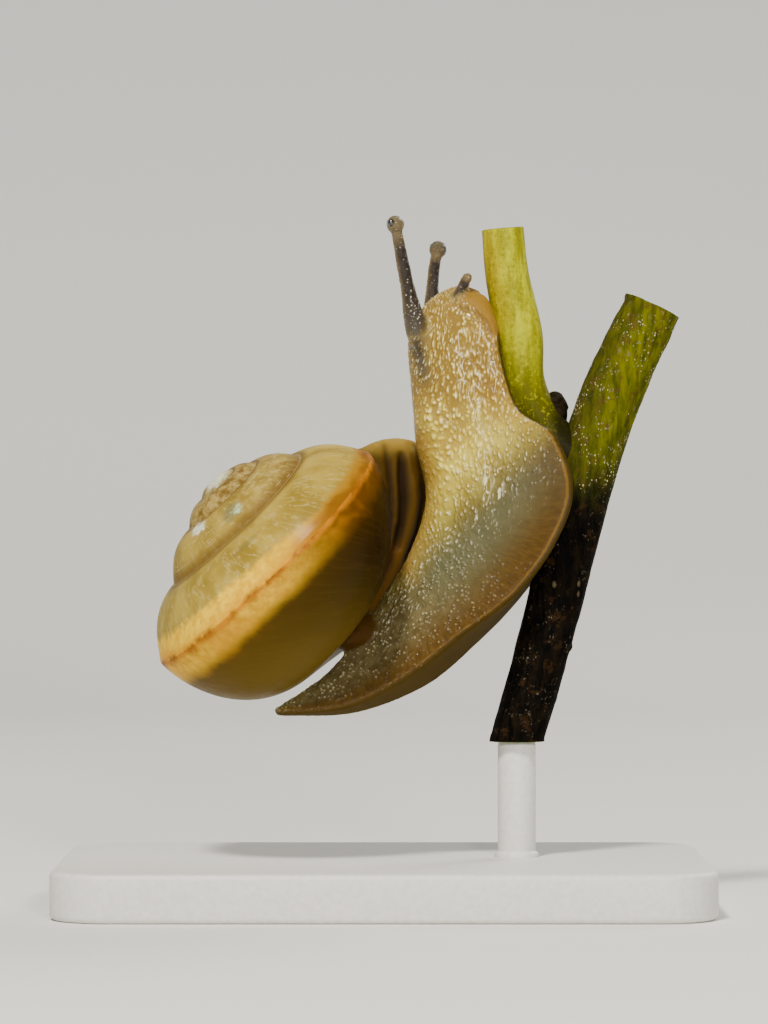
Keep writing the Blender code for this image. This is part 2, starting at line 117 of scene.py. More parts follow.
# --- feelers: root, middle, tip, then the radii there ---
FEELERS = {
    "upper_right": ((1.75, -1.05, 30.0), (1.08, -1.35, 33.1), (0.66, -1.55, 35.38), 0.62, 0.37, 0.315),
    "upper_left": ((2.55, 1.05, 30.9), (2.50, 1.45, 33.1), (2.78, 1.75, 34.28), 0.50, 0.34, 0.315),
    "lower_right": ((3.65, -0.80, 31.60), (4.00, -0.98, 32.38), (4.36, -1.12, 32.94), 0.34, 0.27, 0.28),
    "lower_left": ((3.75, 0.75, 31.65), (4.02, 0.95, 32.25), (4.28, 1.12, 32.72), 0.34, 0.27, 0.28),
}
FEELER_SIDES = 24
HEAD_NOTE = (10.6, 0.3, 0.0)       # what the sunk roots of the feelers count as
BULB_RADIUS = 0.49
EYE_RADIUS = 0.22
EYE_SET = 0.34
LIP_LOBE_RADII = (0.60, 0.72, 1.42)
LIP_LOBE_AT = (5.32, 0.92, 30.75)
LIP_LOBE_LEAN = 0.30

# --- perch and stand ---
STEM_LINE = (
    (14.2, 0.4, 31.6),
    (11.9, 0.4, 26.6),
    (10.55, 0.4, 22.6),
    (9.55, 0.4, 18.2),
    (8.35, 0.4, 13.4),
    (6.70, 0.4, 7.6),
)
STEM_RADII = (1.55, 1.66, 1.70, 1.52, 1.46, 1.42)
STEM_FOOT_Z = 8.6
STEM_SLOPE = 0.284
STALK_LINE = (
    (6.25, 0.15, 35.6),
    (6.45, 0.15, 33.4),
    (7.10, 0.15, 30.0),
    (7.35, 0.15, 27.2),
    (8.60, 0.2, 25.0),
    (10.6, 0.3, 22.9),
)
STALK_RADII = (1.12, 1.16, 1.27, 1.22, 1.15, 1.10)
BUD_AT = (9.00, 0.20, 26.00)
BUD_RADII = (0.75, 0.68, 1.05)
BASE_SIZE = (34.0, 22.0, 2.5)
BASE_CORNER = 3.0
BASE_SOFTNESS = 0.32
ROD_RADIUS = 1.0
ROD_X = 7.0

# --- camera ---
VIEW_DISTANCE = 230.0
VIEW_HEIGHT = 1024.0 / 19.0        # what the view takes in from top to bottom, at y = 0
VIEW_MIDDLE = 20.684
SENSOR = 36.0

# --- marks on the shell's right side, chalky where pale, the apex and scrape marks partly painted highlights: centre in x and z, half length, half width ---
APEX_CHALK_AND_HIGHLIGHT = (-8.74, 22.45, 0.92, 0.40)
SCRAPE_AND_HIGHLIGHT = (-9.58, 19.85, 0.50, 0.26)
PALE_SPOT = (-7.60, 20.80, 0.44, 0.22)
SPOT_SHADE = (-7.84, 20.68, 0.78, 0.40)

# --- furrows and ridges of the mantle's right side: line in x and z, width, depth or height ---
FURROWS = (
    (((0.95, 23.7), (0.90, 22.6), (0.98, 21.2), (0.92, 19.9), (0.72, 18.8)), 0.19, 0.15),
    (((0.05, 24.2), (0.25, 22.8), (0.45, 21.3), (0.40, 20.0), (0.10, 18.5), (-0.9, 16.2)), 0.15, 0.06),
    (((1.75, 24.2), (2.05, 22.7), (2.12, 21.4), (1.75, 19.6), (1.15, 18.0)), 0.15, 0.10),
    (((0.75, 19.9), (0.35, 18.0), (-0.40, 16.5), (-1.30, 15.2)), 0.15, 0.07),
)
RIDGES = (
    (((-0.40, 24.1), (0.25, 24.75), (0.80, 24.85), (1.50, 24.5)), 0.14, 0.08),
    (((1.35, 23.8), (1.60, 22.4), (1.62, 21.2), (1.35, 19.8), (0.80, 18.2), (-0.2, 16.4)), 0.26, 0.08),
    (((0.60, 23.4), (0.60, 21.4), (0.62, 20.2), (0.35, 18.8)), 0.16, 0.04),
)

# --- where the marks, painted glints and painted shade of the skin lie on the right side, in x and z ---
NECK_END_AT = (2.0, 18.4)          # a point on the slanting border of neck and foot
NECK_END_FACING = (-0.71, 0.70)
HAZE_LINE = ((8.0, 23.2), (7.3, 21.6), (6.2, 20.2), (4.6, 18.9), (2.8, 17.9))
# wrinkles whose beads get outlines of painted glint
LINK_LINES = (
    ((3.94, 30.1), (3.79, 29.2), (4.13, 28.2), (4.05, 27.4), (4.47, 26.8), (4.53, 26.2)),
    ((5.00, 30.6), (4.74, 28.9), (4.92, 27.9), (4.84, 26.6), (4.84, 25.3), (5.10, 24.4), (5.32, 23.2),
     (5.35, 21.4)),
    ((5.25, 30.3), (5.58, 29.2), (5.79, 27.9), (5.84, 27.1)),
    ((3.50, 25.6), (3.05, 24.2)),
)
# lines of painted wet sparks below those wrinkles
GLINT_LINES = (
    ((5.35, 25.0), (5.30, 23.2), (5.35, 21.3)),
    ((6.30, 23.7), (6.0, 22.6), (5.9, 21.3), (4.9, 20.2)),
)
TUCK_LINE = ((-1.6, 14.4), (-0.7, 15.2))
COLLAR_SHADE = ((1.70, 24.6), (2.05, 22.6), (1.95, 21.2), (1.40, 19.3), (0.80, 17.9))
ROOT_LINE = ((1.75, 30.2), (2.0, 29.0), (2.2, 28.0))
STREAK = ((1.65, 31.2), (1.62, 30.2), (1.78, 29.2), (1.98, 28.2), (2.10, 27.2))
LIP_LINE = ((4.25, 32.25), (4.9, 31.85), (5.45, 31.2), (5.75, 30.4))
LIP_FOLD = ((3.75, 31.75), (4.05, 31.35), (4.70, 31.20), (5.25, 30.75), (5.55, 30.0))
TONGUE_LINE = ((0.6, 18.6), (0.1, 17.0), (-0.5, 15.9))


# ---------------------------------------------------------------- nodes that read like sums

def joined(operation, swapped=False):
    """A method that feeds a Wire, and a second value if there is one, to a Math node."""
    def method(wire, *other):
        return wire.net.math(operation, *((*other, wire) if swapped else (wire, *other)))
    return method


class Wire:
    """One socket of a node tree, which adds and multiplies like a number."""

    __add__ = __radd__ = joined("ADD")
    __mul__ = __rmul__ = joined("MULTIPLY")
    __sub__, __rsub__ = joined("SUBTRACT"), joined("SUBTRACT", swapped=True)
    __truediv__, __rtruediv__ = joined("DIVIDE"), joined("DIVIDE", swapped=True)
    __pow__ = joined("POWER")
    least, most, over = joined("MINIMUM"), joined("MAXIMUM"), joined("GREATER_THAN")
    sin, cos, exp, size = joined("SINE"), joined("COSINE"), joined("EXPONENT"), joined("ABSOLUTE")

    def __init__(self, net, socket):
        self.net = net
        self.socket = socket

    def step(self, low, high, start=0.0, end=1.0):
        """Runs smoothly from start to end between low and high."""
        feeds = {"Value": self, "From Min": low, "From Max": high, "To Min": start, "To Max": end}
        return self.net.add("ShaderNodeMapRange", feeds, interpolation_type="SMOOTHSTEP")

    def fall(self, low, high):
        """Runs smoothly from 1 to 0 between low and high."""
        return self.step(low, high, 1.0, 0.0)


class Net:
    """A node tree, with one short call for each node it needs."""

    def __init__(self, tree):
        self.tree = tree

    def add(self, kind, feeds=None, out=0, **settings):
        node = self.tree.nodes.new(kind)
        for name, value in settings.items():
            setattr(node, name, value)
        for name, value in (feeds or {}).items():
            self.feed(node.inputs[name], value)
        return Wire(self, node.outputs[out]) if node.outputs else node

    def feed(self, socket, value):
        if isinstance(value, Wire):
            self.tree.links.new(value.socket, socket)
        else:
            socket.default_value = value

    def math(self, operation, *values):
        return self.add("ShaderNodeMath", dict(enumerate(values)), operation=operation)

    def mix(self, part, low, high):
        return self.add("ShaderNodeMix", {0: part, 2: low, 3: high})

    def colour(self, part, low, high):
        low = low if isinstance(low, Wire) else (*low, 1.0)
        high = high if isinstance(high, Wire) else (*high, 1.0)
        return self.add("ShaderNodeMix", {0: part, 6: low, 7: high}, out=2, data_type="RGBA")

    def coats(self, tone, *coats):
        """The tone under thin coats of colour, each given as its weight and its colour."""
        for weight, colour in coats:
            tone = self.colour(weight, tone, colour)
        return tone

    def blend(self, part, low, high):
        """Between two places: the first where part is 0, the second where it is 1."""
        return self.add("ShaderNodeMix", {0: part, 4: low, 5: high}, out=1, data_type="VECTOR")

    def vector(self, x, y, z):
        return self.add("ShaderNodeCombineXYZ", {0: x, 1: y, 2: z})

    def split(self, vector):
        node = self.tree.nodes.new("ShaderNodeSeparateXYZ")
        self.feed(node.inputs[0], vector)
        return [Wire(self, socket) for socket in node.outputs]

    def move(self, operation, first, second):
        key = "Scale" if operation == "SCALE" else 1
        return self.add("ShaderNodeVectorMath", {0: first, key: second}, operation=operation)

    def noise(self, place, scale, detail=2.0, rough=0.5):
        feeds = {"Vector": place, "Scale": scale, "Detail": detail, "Roughness": rough}
        return self.add("ShaderNodeTexNoise", feeds)

    def cells(self, place, scale, feature="F1"):
        return self.add("ShaderNodeTexVoronoi", {"Vector": place, "Scale": scale}, feature=feature)

    def warp(self, place, scale, amount):
        """The same place, pushed about by a smooth noise."""
        push = self.add("ShaderNodeTexNoise", {"Vector": place, "Scale": scale, "Detail": 1.0}, out="Color")
        push = self.move("SUBTRACT", push, (0.5, 0.5, 0.5))
        return self.move("ADD", place, self.move("SCALE", push, amount))

    def bump(self, height, distance, strength=1.0, normal=None):
        feeds = {"Height": height, "Distance": distance, "Strength": strength}
        if normal is not None:
            feeds["Normal"] = normal
        return self.add("ShaderNodeBump", feeds)


class Finish(Net):
    """A material's node tree, with its surface shader at hand."""

    def __init__(self, name, **fixed):
        self.material = bpy.data.materials.new(name)
        self.material.use_nodes = True
        super().__init__(self.material.node_tree)
        self.shader = self.tree.nodes["Principled BSDF"]
        self.masks = {}
        for key, value in fixed.items():
            self.shader.inputs[key.replace("_", " ")].default_value = value

    def place(self):
        """Position on the piece in millimetres."""
        node = self.tree.nodes.new("ShaderNodeTexCoord")
        return self.move("SCALE", Wire(self, node.outputs["Object"]), 1.0 / MM)

    def mask(self, name):
        """A value that the mesh holds at each point. The node is made once and used again."""
        if name not in self.masks:
            self.masks[name] = self.add("ShaderNodeAttribute", out="Fac", attribute_name=name)
        return self.masks[name]

    def track(self, name):
        return self.split(self.add("ShaderNodeAttribute", out="Vector", attribute_name=name))

    def coat_bump(self, height, distance, strength):
        """Relief that only the wet or glossy coat has."""
        self.feed(self.shader.inputs["Coat Normal"], self.bump(height, distance, strength))

    def set(self, **wires):
        for key, wire in wires.items():
            self.feed(self.shader.inputs[key.replace("_", " ")], wire)
        return self.material


class Shaper(Net):
    """A Geometry Nodes tree with named inputs, run once on an object and then turned to plain mesh."""

    def __init__(self, name, sizes):
        tree = bpy.data.node_groups.new(name, "GeometryNodeTree")
        super().__init__(tree)
        self.values = dict(sizes)
        tree.interface.new_socket("Geometry", in_out="INPUT", socket_type="NodeSocketGeometry")
        tree.interface.new_socket("Geometry", in_out="OUTPUT", socket_type="NodeSocketGeometry")
        for label, value in sizes.items():
            kind = "NodeSocketInt" if isinstance(value, int) else "NodeSocketFloat"
            tree.interface.new_socket(label, in_out="INPUT", socket_type=kind)
        entry = tree.nodes.new("NodeGroupInput")
        self.sizes = {label: Wire(self, entry.outputs[label]) for label in sizes}
        self.geometry = Wire(self, entry.outputs["Geometry"])

    def mask(self, name):
        return self.add("GeometryNodeInputNamedAttribute", {"Name": name}, data_type="FLOAT")

    def store(self, geometry, name, value, kind="FLOAT", domain="POINT"):
        feeds = {"Geometry": geometry, "Name": name, "Value": value}
        return self.add("GeometryNodeStoreNamedAttribute", feeds, data_type=kind, domain=domain)

    def position(self):
        return self.add("GeometryNodeInputPosition")

    def put(self, geometry, place):
        return self.add("GeometryNodeSetPosition", {"Geometry": geometry, "Position": place})

    def raise_skin(self, geometry, height):
        """Every point moved out along the surface's own normal."""
        offset = self.move("SCALE", self.add("GeometryNodeInputNormal"), height)
        return self.add("GeometryNodeSetPosition", {"Geometry": geometry, "Offset": offset})

    def weld(self, geometry, gap):
        return self.add("GeometryNodeMergeByDistance", {"Geometry": geometry, "Distance": gap})

    def join(self, *parts):
        node = self.tree.nodes.new("GeometryNodeJoinGeometry")
        for part in parts:
            self.tree.links.new(part.socket, node.inputs[0])
        return Wire(self, node.outputs[0])

    def close(self, geometry, finish):
        """Smooth shading, millimetres to metres, then the two nodes that every tree ends in."""
        geometry = self.add("GeometryNodeSetShadeSmooth", {"Geometry": geometry, "Shade Smooth": True})
        geometry = self.add("GeometryNodeTransform", {"Geometry": geometry, "Scale": (MM, MM, MM)})
        geometry = self.add("GeometryNodeRealizeInstances", {"Geometry": geometry})
        geometry = self.add("GeometryNodeSetMaterial", {"Geometry": geometry, "Material": finish})
        end = self.tree.nodes.new("NodeGroupOutput")
        self.tree.links.new(geometry.socket, end.inputs["Geometry"])

    def run(self, source, name):
        """The finished piece that this tree makes from the source object."""
        modifier = source.modifiers.new(name, "NODES")
        modifier.node_group = self.tree
        for item in self.tree.interface.items_tree:
            if item.in_out == "INPUT" and item.name in self.values:
                modifier[item.identifier] = self.values[item.name]
        return add_piece(name, plain_mesh(source, name))


# ---------------------------------------------------------------- meshes

def set_out(name, data):
    """A new object in the scene, at the origin."""
    holder = bpy.data.objects.new(name, data)
    bpy.context.scene.collection.objects.link(holder)
    return holder


def add_piece(name, mesh, finish=None):
    if finish:
        mesh.materials.append(finish)
    return set_out(name, mesh)


def plain_mesh(source, name):
    """What the source's modifier makes of it. The source itself is removed."""
    bpy.context.view_layer.update()
    graph = bpy.context.evaluated_depsgraph_get()
    mesh = bpy.data.meshes.new_from_object(
        source.evaluated_get(graph), preserve_all_data_layers=True, depsgraph=graph)
    mesh.name = name
    bpy.data.objects.remove(source, do_unlink=True)
    return mesh


def settle(piece, slot, *nodes):
    """Hand a finished piece to the frame: it rides on the body and stands for its solids."""
    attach(piece, "root")
    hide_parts(*nodes)
    return piece


def smoothstep(low, high, value):
    part = np.clip((np.asarray(value, float) - low) / (high - low), 0.0, 1.0)
    return part * part * (3.0 - 2.0 * part)


def face_out(mesh, sliver=None):
    """Turns a mesh's faces outward, without the slivers shorter than the given length."""
    bm = bmesh.new()
    bm.from_mesh(mesh)
    if sliver:
        bmesh.ops.dissolve_degenerate(bm, edges=bm.edges, dist=sliver)
    bmesh.ops.recalc_face_normals(bm, faces=bm.faces)
    bm.to_mesh(mesh)
    bm.free()


def mesh_of(name, points, faces):
    """A mesh with its faces turned outward."""
    mesh = bpy.data.meshes.new(name)
    mesh.from_pydata([tuple(p) for p in points], [], faces)
    face_out(mesh)
    return mesh


def carved(name, bm):
    """The smooth mesh of a bmesh that was worked in millimetres."""
    bmesh.ops.scale(bm, vec=(MM, MM, MM), verts=bm.verts)
    mesh = bpy.data.meshes.new(name)
    bm.to_mesh(mesh)
    bm.free()
    mesh.shade_smooth()
    return mesh


def mesh_values(items, field, width, kind=float):
    """One field of a mesh's points or edges, as rows of numbers."""
    values = np.empty(len(items) * width, kind)
    items.foreach_get(field, values)
    return values.reshape(-1, width)


class Stock:
    """Closed shells with notes at each point, gathered before they are grown into one skin.

    A point's notes are how far along its part it is, how far round or across, and the kind of part:
    0 body, 1 feeler, 2 lip, 3 mantle.
    """

    def __init__(self):
        self.points = []
        self.faces = []
        self.notes = []
        self.count = 0

    def add(self, points, faces, notes):
        self.points.append(np.asarray(points, float))
        self.faces.extend([tuple(i + self.count for i in face) for face in faces])
        self.notes.append(np.asarray(notes, float))
        self.count += len(points)


def rings_to_faces(rings, around, closed_ends=True):
    faces = []
    for i in range(rings - 1):
        for j in range(around):
            k = (j + 1) % around
            faces.append((i * around + j, i * around + k, (i + 1) * around + k, (i + 1) * around + j))
    if closed_ends:
        faces.append(tuple(range(around)))
        faces.append(tuple((rings - 1) * around + j for j in range(around)))
    return faces


def turned(profile, around, x=0.0, y=0.0):
    """Points of a turned form, ring by ring, from the radius and height of each ring."""
    circle = [(math.cos(a), math.sin(a)) for a in (math.tau * j / around for j in range(around))]
    return [(x + radius * right, y + radius * far, z) for radius, z in profile for right, far in circle]


def lump(centre, reach, side, pole, rings, around, swell=lambda part, turn: 1.0):
    """Points of a closed lump, ring by ring: a ball drawn out along three directions."""
    centre, reach, side, pole = (np.array(place) for place in (centre, reach, side, pole))
    points = []
    for i in range(1, rings):
        tilt = math.pi * i / rings
        for j in range(around):
            turn = math.tau * j / around
            ring = reach * math.cos(turn) + side * math.sin(turn)
            points.append(centre + ring * (swell(i / rings, turn) * math.sin(tilt)) + pole * math.cos(tilt))
    return points


# ---------------------------------------------------------------- shell

def shell_axes():
    axis = Vector((
        math.cos(AXIS_LEAN) * math.cos(AXIS_TURN),
        -math.sin(AXIS_TURN),
        math.sin(AXIS_LEAN) * math.cos(AXIS_TURN),
    ))
    right = Vector((math.sin(AXIS_LEAN), 0.0, -math.cos(AXIS_LEAN)))
    return axis, right, axis.cross(right)


SHELL_AXIS, SHELL_RIGHT, SHELL_FAR = shell_axes()


def shell_point(turn, radius, depth):
    angle = -(turn - RIGHT_TURN) * math.pi
    return (
        Vector(APEX)
        - SHELL_AXIS * depth
        + SHELL_RIGHT * (radius * math.cos(angle))
        + SHELL_FAR * (radius * math.sin(angle))
    )


def keel(turn):
    start = math.sin(math.pi / 2.0 * min((turn - FIRST_TURN) / START_TURNS, 1.0))
    radius = start * KEEL_LIMIT / (1.0 + math.exp(-KEEL_RATE * (turn - KEEL_MID)))
    return radius, DROP_SCALE * radius ** DROP_POWER


def upper_point(turn, part):
    inner_r, inner_z = keel(turn - 2.0)
    outer_r, outer_z = keel(turn)
    run, fall = outer_r - inner_r, outer_z - inner_z
    arch = WHORL_ARCH + LIP_ARCH * float(smoothstep(*LIP_ARCH_TURNS, turn))
    arch *= math.sin(math.pi * part ** 0.85)
    return shell_point(turn, inner_r + run * part + fall * arch, inner_z + fall * part - run * arch)


def base_point(turn, part):
    turn = turn - LIP_LAG * float(smoothstep(0.0, 1.0, part))
    radius, depth = keel(turn)
    bend = part * math.pi / 2.0
    reach = max(math.cos(bend), 0.0) ** (2.0 / BASE_POWER)
    fall = math.sin(bend) ** (2.0 / BASE_POWER)
    swell = BASE_SWELL * float(smoothstep(*SWELL_TURNS, turn))
    swell *= max(math.sin(math.pi * part), 0.0) ** SWELL_POWER
    return shell_point(turn, radius * reach, depth + (BASE_POLE - depth) * fall + swell)


def oval_mark(net, place, mark):
    """1 inside a rough oval mark that slants up the shell's right side."""
    x, y, z = net.split(net.warp(place, 3.2, 0.55))
    x, z = x - mark[0], z - mark[1]
    along, aside = (x + z) * (0.71 / mark[2]), (x - z) * (0.71 / mark[3])
    reach = net.math("SQRT", along * along + aside * aside)
    return reach.fall(0.35, 1.15) * y.fall(-0.5, 0.5)


def whorl_tone(net, turn, across, wander, fleck, pale_line):
    """Olive, browner up the spire, with a dark seam, a dusky brow, pale growth lines and a worn tip that is
    partly a painted highlight.
    """
    spire = net.colour(fleck.step(0.35, 0.65), (0.130, 0.074, 0.016), (0.30, 0.215, 0.058))
    olive = net.colour((wander + 0.5).step(0.30, 0.70), (0.215, 0.146, 0.017), (0.37, 0.264, 0.046))
    brow = across.step(0.66, 0.98) * turn.step(4.0, 5.0) * turn.fall(6.6, 7.0)
    spots = net.noise(net.vector(turn * 3.0, across * 2.6, 7.0), 1.3, 2.0, 0.6)
    return net.coats(
        spire,
        (turn.step(4.4, 6.2), olive),
        (pale_line * across.step(0.10, 0.25) * fleck.step(0.36, 0.54) * 0.42, (0.46, 0.37, 0.15)),
        (across.fall(0.02, 0.16) * turn.step(1.0, 3.0) * 0.80, (0.080, 0.040, 0.010)),
        (brow * 0.72, (0.100, 0.050, 0.012)),
        (across.fall(0.0, 0.035) * 0.5, (0.42, 0.30, 0.12)),
        (spots.step(0.60, 0.72) * 0.35, (0.09, 0.085, 0.035)),
        # worn tip, pale partly as a painted highlight
        ((turn + (fleck - 0.5) * 1.6).step(-0.4, 2.6, 0.85, 0.0), (0.34, 0.34, 0.17)),
    )


def base_tone(net, turn, under, fleck, late, pale_line):
    """Deep brown, partly painted shade, lighter toward the lip, with a gold line and an orange one just
    below the keel.
    """
    gold = net.colour(fleck.step(0.3, 0.7), (0.50, 0.255, 0.006), (0.68, 0.40, 0.018))
    gold = net.colour(late, gold, (0.14, 0.052, 0.001))
    return net.coats(
        # the deep brown is darker partly as painted shade
        net.colour(turn.step(7.28, 7.92), (0.010, 0.0034, 0.0003), (0.100, 0.062, 0.006)),
        (under.step(0.15, 0.45, 0.35, 0.0), (0.070, 0.034, 0.002)),
        (pale_line * 0.05, (0.20, 0.12, 0.02)),
        (under.fall(0.10, 0.20) * net.mix(late, 1.0, 0.6), gold),
        (under.fall(0.015, 0.055) * 0.8, (0.48, 0.175, 0.004)),
    )


def shell_finish():
    """Glossy, thin shell: olive above, brown below, a cream and orange band along the keel."""
    net = Finish("shell_gloss", Coat_Weight=0.05, Coat_Roughness=0.22, Coat_IOR=1.5, IOR=1.2,
                 Specular_IOR_Level=0.08, Subsurface_Weight=0.18, Subsurface_Radius=(1.0, 0.6, 0.25),
                 Subsurface_Scale=0.0006)
    turn, across, base = net.track("whorl")
    place = net.place()
    wander = net.noise(place, 0.55, 3.0) - 0.5
    fleck = net.noise(place, 2.4, 4.0, 0.6)
    lines_at = net.vector(turn * 16.0 + across * 1.3, across * 0.8, 3.0)
    growth = net.noise(net.warp(lines_at, 0.8, 0.30), 2.0, 3.0, 0.6)
    fine = net.noise(net.vector(turn * 60.0 + across * 2.0, across * 1.2, 0.0), 1.0, 2.0, 0.5)
    pale_line = (growth - 0.5).size().fall(0.0, 0.035)

    late = turn.fall(7.30, 7.60)
    on_band = turn.step(5.9, 6.9)
    edge = across + wander * 0.12 + (fleck - 0.5) * 0.12 - late * 0.08
    under = across + wander * 0.05 + (fleck - 0.5) * 0.035
    from_keel = net.mix(base, 1.0 - edge, under * 1.1) + (net.noise(place, 1.6, 3.0, 0.65) - 0.5) * 0.16
    cream = net.colour(fleck.step(0.3, 0.7), (0.62, 0.33, 0.003), (0.86, 0.55, 0.016))
    cream = net.colour(late, cream, (0.30, 0.145, 0.006))
    orange = net.colour(late, (0.62, 0.27, 0.006), (0.16, 0.062, 0.003))
    patches = net.noise(net.vector(turn * 2.6, across * 0.8, 5.0), 1.5, 3.0, 0.6).step(0.44, 0.58)
    on_orange = (edge + late * 0.10 + patches * 0.06).step(0.86, 1.0) * (1.0 - base) * on_band
    rusty = net.noise(net.vector(turn * 3.4, across * 1.4, 9.0), 1.6, 3.0, 0.65).step(0.48, 0.64)
    blots = net.noise(place, 0.8, 3.0, 0.6).step(0.42, 0.60)
    scratch = net.noise(net.vector(turn * 4.0, across * 22.0, 1.0), 1.4, 2.0, 0.7)
    worn = scratch.step(0.66, 0.70) * turn.fall(5.2, 6.8)
    mark_breakup = net.noise(net.vector(turn * 6.0, across * 9.0, 2.0), 1.6, 3.0, 0.7)
    mark_breakup = mark_breakup.step(0.40, 0.58, 0.35, 0.95)
    tone = net.coats(
        whorl_tone(net, turn, across, wander, fleck, pale_line),
        (edge.step(0.66, 0.78) * (1.0 - base) * on_band * 0.95, cream),
        (on_orange * (0.60 + late * 0.25 + patches * 0.15), orange),
        (base, base_tone(net, turn, under, fleck, late, pale_line)),
        (rusty * from_keel.fall(0.04, 0.26) * on_band * 0.50, (0.50, 0.185, 0.008)),
        (from_keel.fall(0.0, 0.085) * on_band * blots * 0.9, (0.17, 0.050, 0.004)),
        (worn * 0.6, (0.70, 0.60, 0.34)),
        (oval_mark(net, place, SPOT_SHADE) * 0.80, (0.12, 0.115, 0.055)),
        # the apex and scrape marks: partly chalky wear, partly painted highlights
        (oval_mark(net, place, APEX_CHALK_AND_HIGHLIGHT) * mark_breakup, (0.62, 0.66, 0.54)),
        (oval_mark(net, place, SCRAPE_AND_HIGHLIGHT) * mark_breakup, (0.78, 0.80, 0.68)),
        (oval_mark(net, place, PALE_SPOT) * mark_breakup, (0.42, 0.50, 0.28)),
    )
    bump = net.bump(growth * 0.55 + fine * 0.30 + fleck * 0.25, 0.00006, 0.55)
    rough = net.mix(worn, fleck.step(0.2, 0.8, 0.34, 0.50), 0.6)
    net.coat_bump(wander + fine * 0.10, 0.00005, 0.6)
    return net.set(Base_Color=tone, Normal=bump, Roughness=rough)


def shell_piece():
    """The spiral is one sheet: upper face of every whorl, base of the last one, and the mouth's floor."""
    net = Shaper("keeled_spiral", {
        "Keel limit": KEEL_LIMIT, "Keel rate": KEEL_RATE, "Keel middle": KEEL_MID,
        "Drop scale": DROP_SCALE, "Drop power": DROP_POWER, "First turn": FIRST_TURN,
        "Lip turn": LIP_TURN, "Arch": WHORL_ARCH, "Lip arch": LIP_ARCH, "Navel depth": BASE_POLE,
        "Base power": BASE_POWER, "Base swell": BASE_SWELL, "Lip lag": LIP_LAG,
        "Steps per half turn": TURN_STEPS, "Upper rows": UPPER_ROWS, "Base rows": BASE_ROWS,
    })
    size = net.sizes

    def spiral(turn):
        opened = ((turn - size["First turn"]) / START_TURNS).least(1.0).most(0.0)
        fall_off = (size["Keel rate"] * (size["Keel middle"] - turn)).exp() + 1.0
        radius = (opened * (math.pi / 2.0)).sin() * size["Keel limit"] / fall_off
        return radius, size["Drop scale"] * radius ** size["Drop power"]

    def put_round(turn, radius, depth):
        angle = (turn - RIGHT_TURN) * -math.pi
        place = APEX
        for way, reach in (
            (-SHELL_AXIS, depth), (SHELL_RIGHT, radius * angle.cos()), (SHELL_FAR, radius * angle.sin()),
        ):
            place = net.move("ADD", place, net.move("SCALE", tuple(way), reach))
        return place

    def upper(turn, part):
        inner_r, inner_z = spiral(turn - 2.0)
        outer_r, outer_z = spiral(turn)
        run, fall = outer_r - inner_r, outer_z - inner_z
        arch = size["Arch"] + size["Lip arch"] * turn.step(*LIP_ARCH_TURNS)
        arch = arch * (part ** 0.85 * math.pi).sin()
        return put_round(turn, inner_r + run * part + fall * arch, inner_z + fall * part - run * arch)

    def base(turn, part):
        turn = turn - size["Lip lag"] * part.step(0.0, 1.0)
        radius, depth = spiral(turn)
        bend = part * (math.pi / 2.0)
        power = 2.0 / size["Base power"]
        reach = bend.cos().most(0.0) ** power
        fall = bend.sin().most(0.0) ** power
        swell = size["Base swell"] * turn.step(*SWELL_TURNS)
        swell = swell * ((part * math.pi).sin().most(0.0) ** SWELL_POWER)
        return put_round(turn, radius * reach, depth + (size["Navel depth"] - depth) * fall + swell)

    def sheet(columns, rows):
        grid = net.add("GeometryNodeMeshGrid", {
            "Size X": 1.0, "Size Y": 1.0, "Vertices X": columns + 1, "Vertices Y": rows + 1})
        x, y, _ = net.split(net.position())
        return grid, x + 0.5, y + 0.5

    def noted(grid, turn, part, base):
        return net.store(grid, "whorl", net.vector(turn, part, base), "FLOAT_VECTOR", "CORNER")

    lip = size["Lip turn"]
    steps = size["Steps per half turn"]
    grid, along, part = sheet((lip - size["First turn"]) * steps, size["Upper rows"])
    turn = size["First turn"] + (lip - size["First turn"]) * along
    tops = net.put(noted(grid, turn, part, 0.0), upper(turn, part))

    grid, along, part = sheet(steps * 2.0, size["Base rows"])
    turn = lip - 2.0 + along * 2.0
    bottoms = net.put(noted(grid, turn, part, 1.0), base(turn, part))
    bottoms = net.add("GeometryNodeFlipFaces", {"Mesh": bottoms})

    rows = size["Upper rows"] + size["Base rows"]
    grid, along, depth_in = sheet(rows, 8)
    row = along * rows
    on_top = (row / size["Upper rows"]).least(1.0)
    on_base = ((row - size["Upper rows"]) / size["Base rows"]).most(0.0).least(1.0)
    back = lip - (depth_in * math.pi).sin() * 0.10
    outer = net.blend((row - size["Upper rows"]).over(0.0001), upper(back, on_top), base(back, on_base))
    mouth = net.put(noted(grid, lip, 0.6, 1.0), net.blend(depth_in, outer, base(lip - 2.0, on_base)))

    net.close(net.weld(net.join(tops, bottoms, mouth), 0.002), shell_finish())
    piece = net.run(add_piece("spiral_seed", bpy.data.meshes.new("spiral_seed")), "striped_shell")
    face_out(piece.data, sliver=1e-8)
    return settle(piece, "shell", "shell")


# ---------------------------------------------------------------- flesh

def at_station(where):
    """All the sizes at any place between two stations, on a smooth curve through them."""
    rows = np.array(STATIONS)
    last = len(rows) - 1
    where = min(max(where, 0.0), float(last))
    low = min(int(where), last - 1)
    part = where - low
    before, start = rows[max(low - 1, 0)], rows[low]
    end, after = rows[low + 1], rows[min(low + 2, last)]
    lean, lean_end = (end - before) / 2.0, (after - start) / 2.0
    square, cube = part * part, part ** 3
    return (
        (2 * cube - 3 * square + 1) * start
        + (cube - 2 * square + part) * lean
        + (3 * square - 2 * cube) * end
        + (cube - square) * lean_end
    )


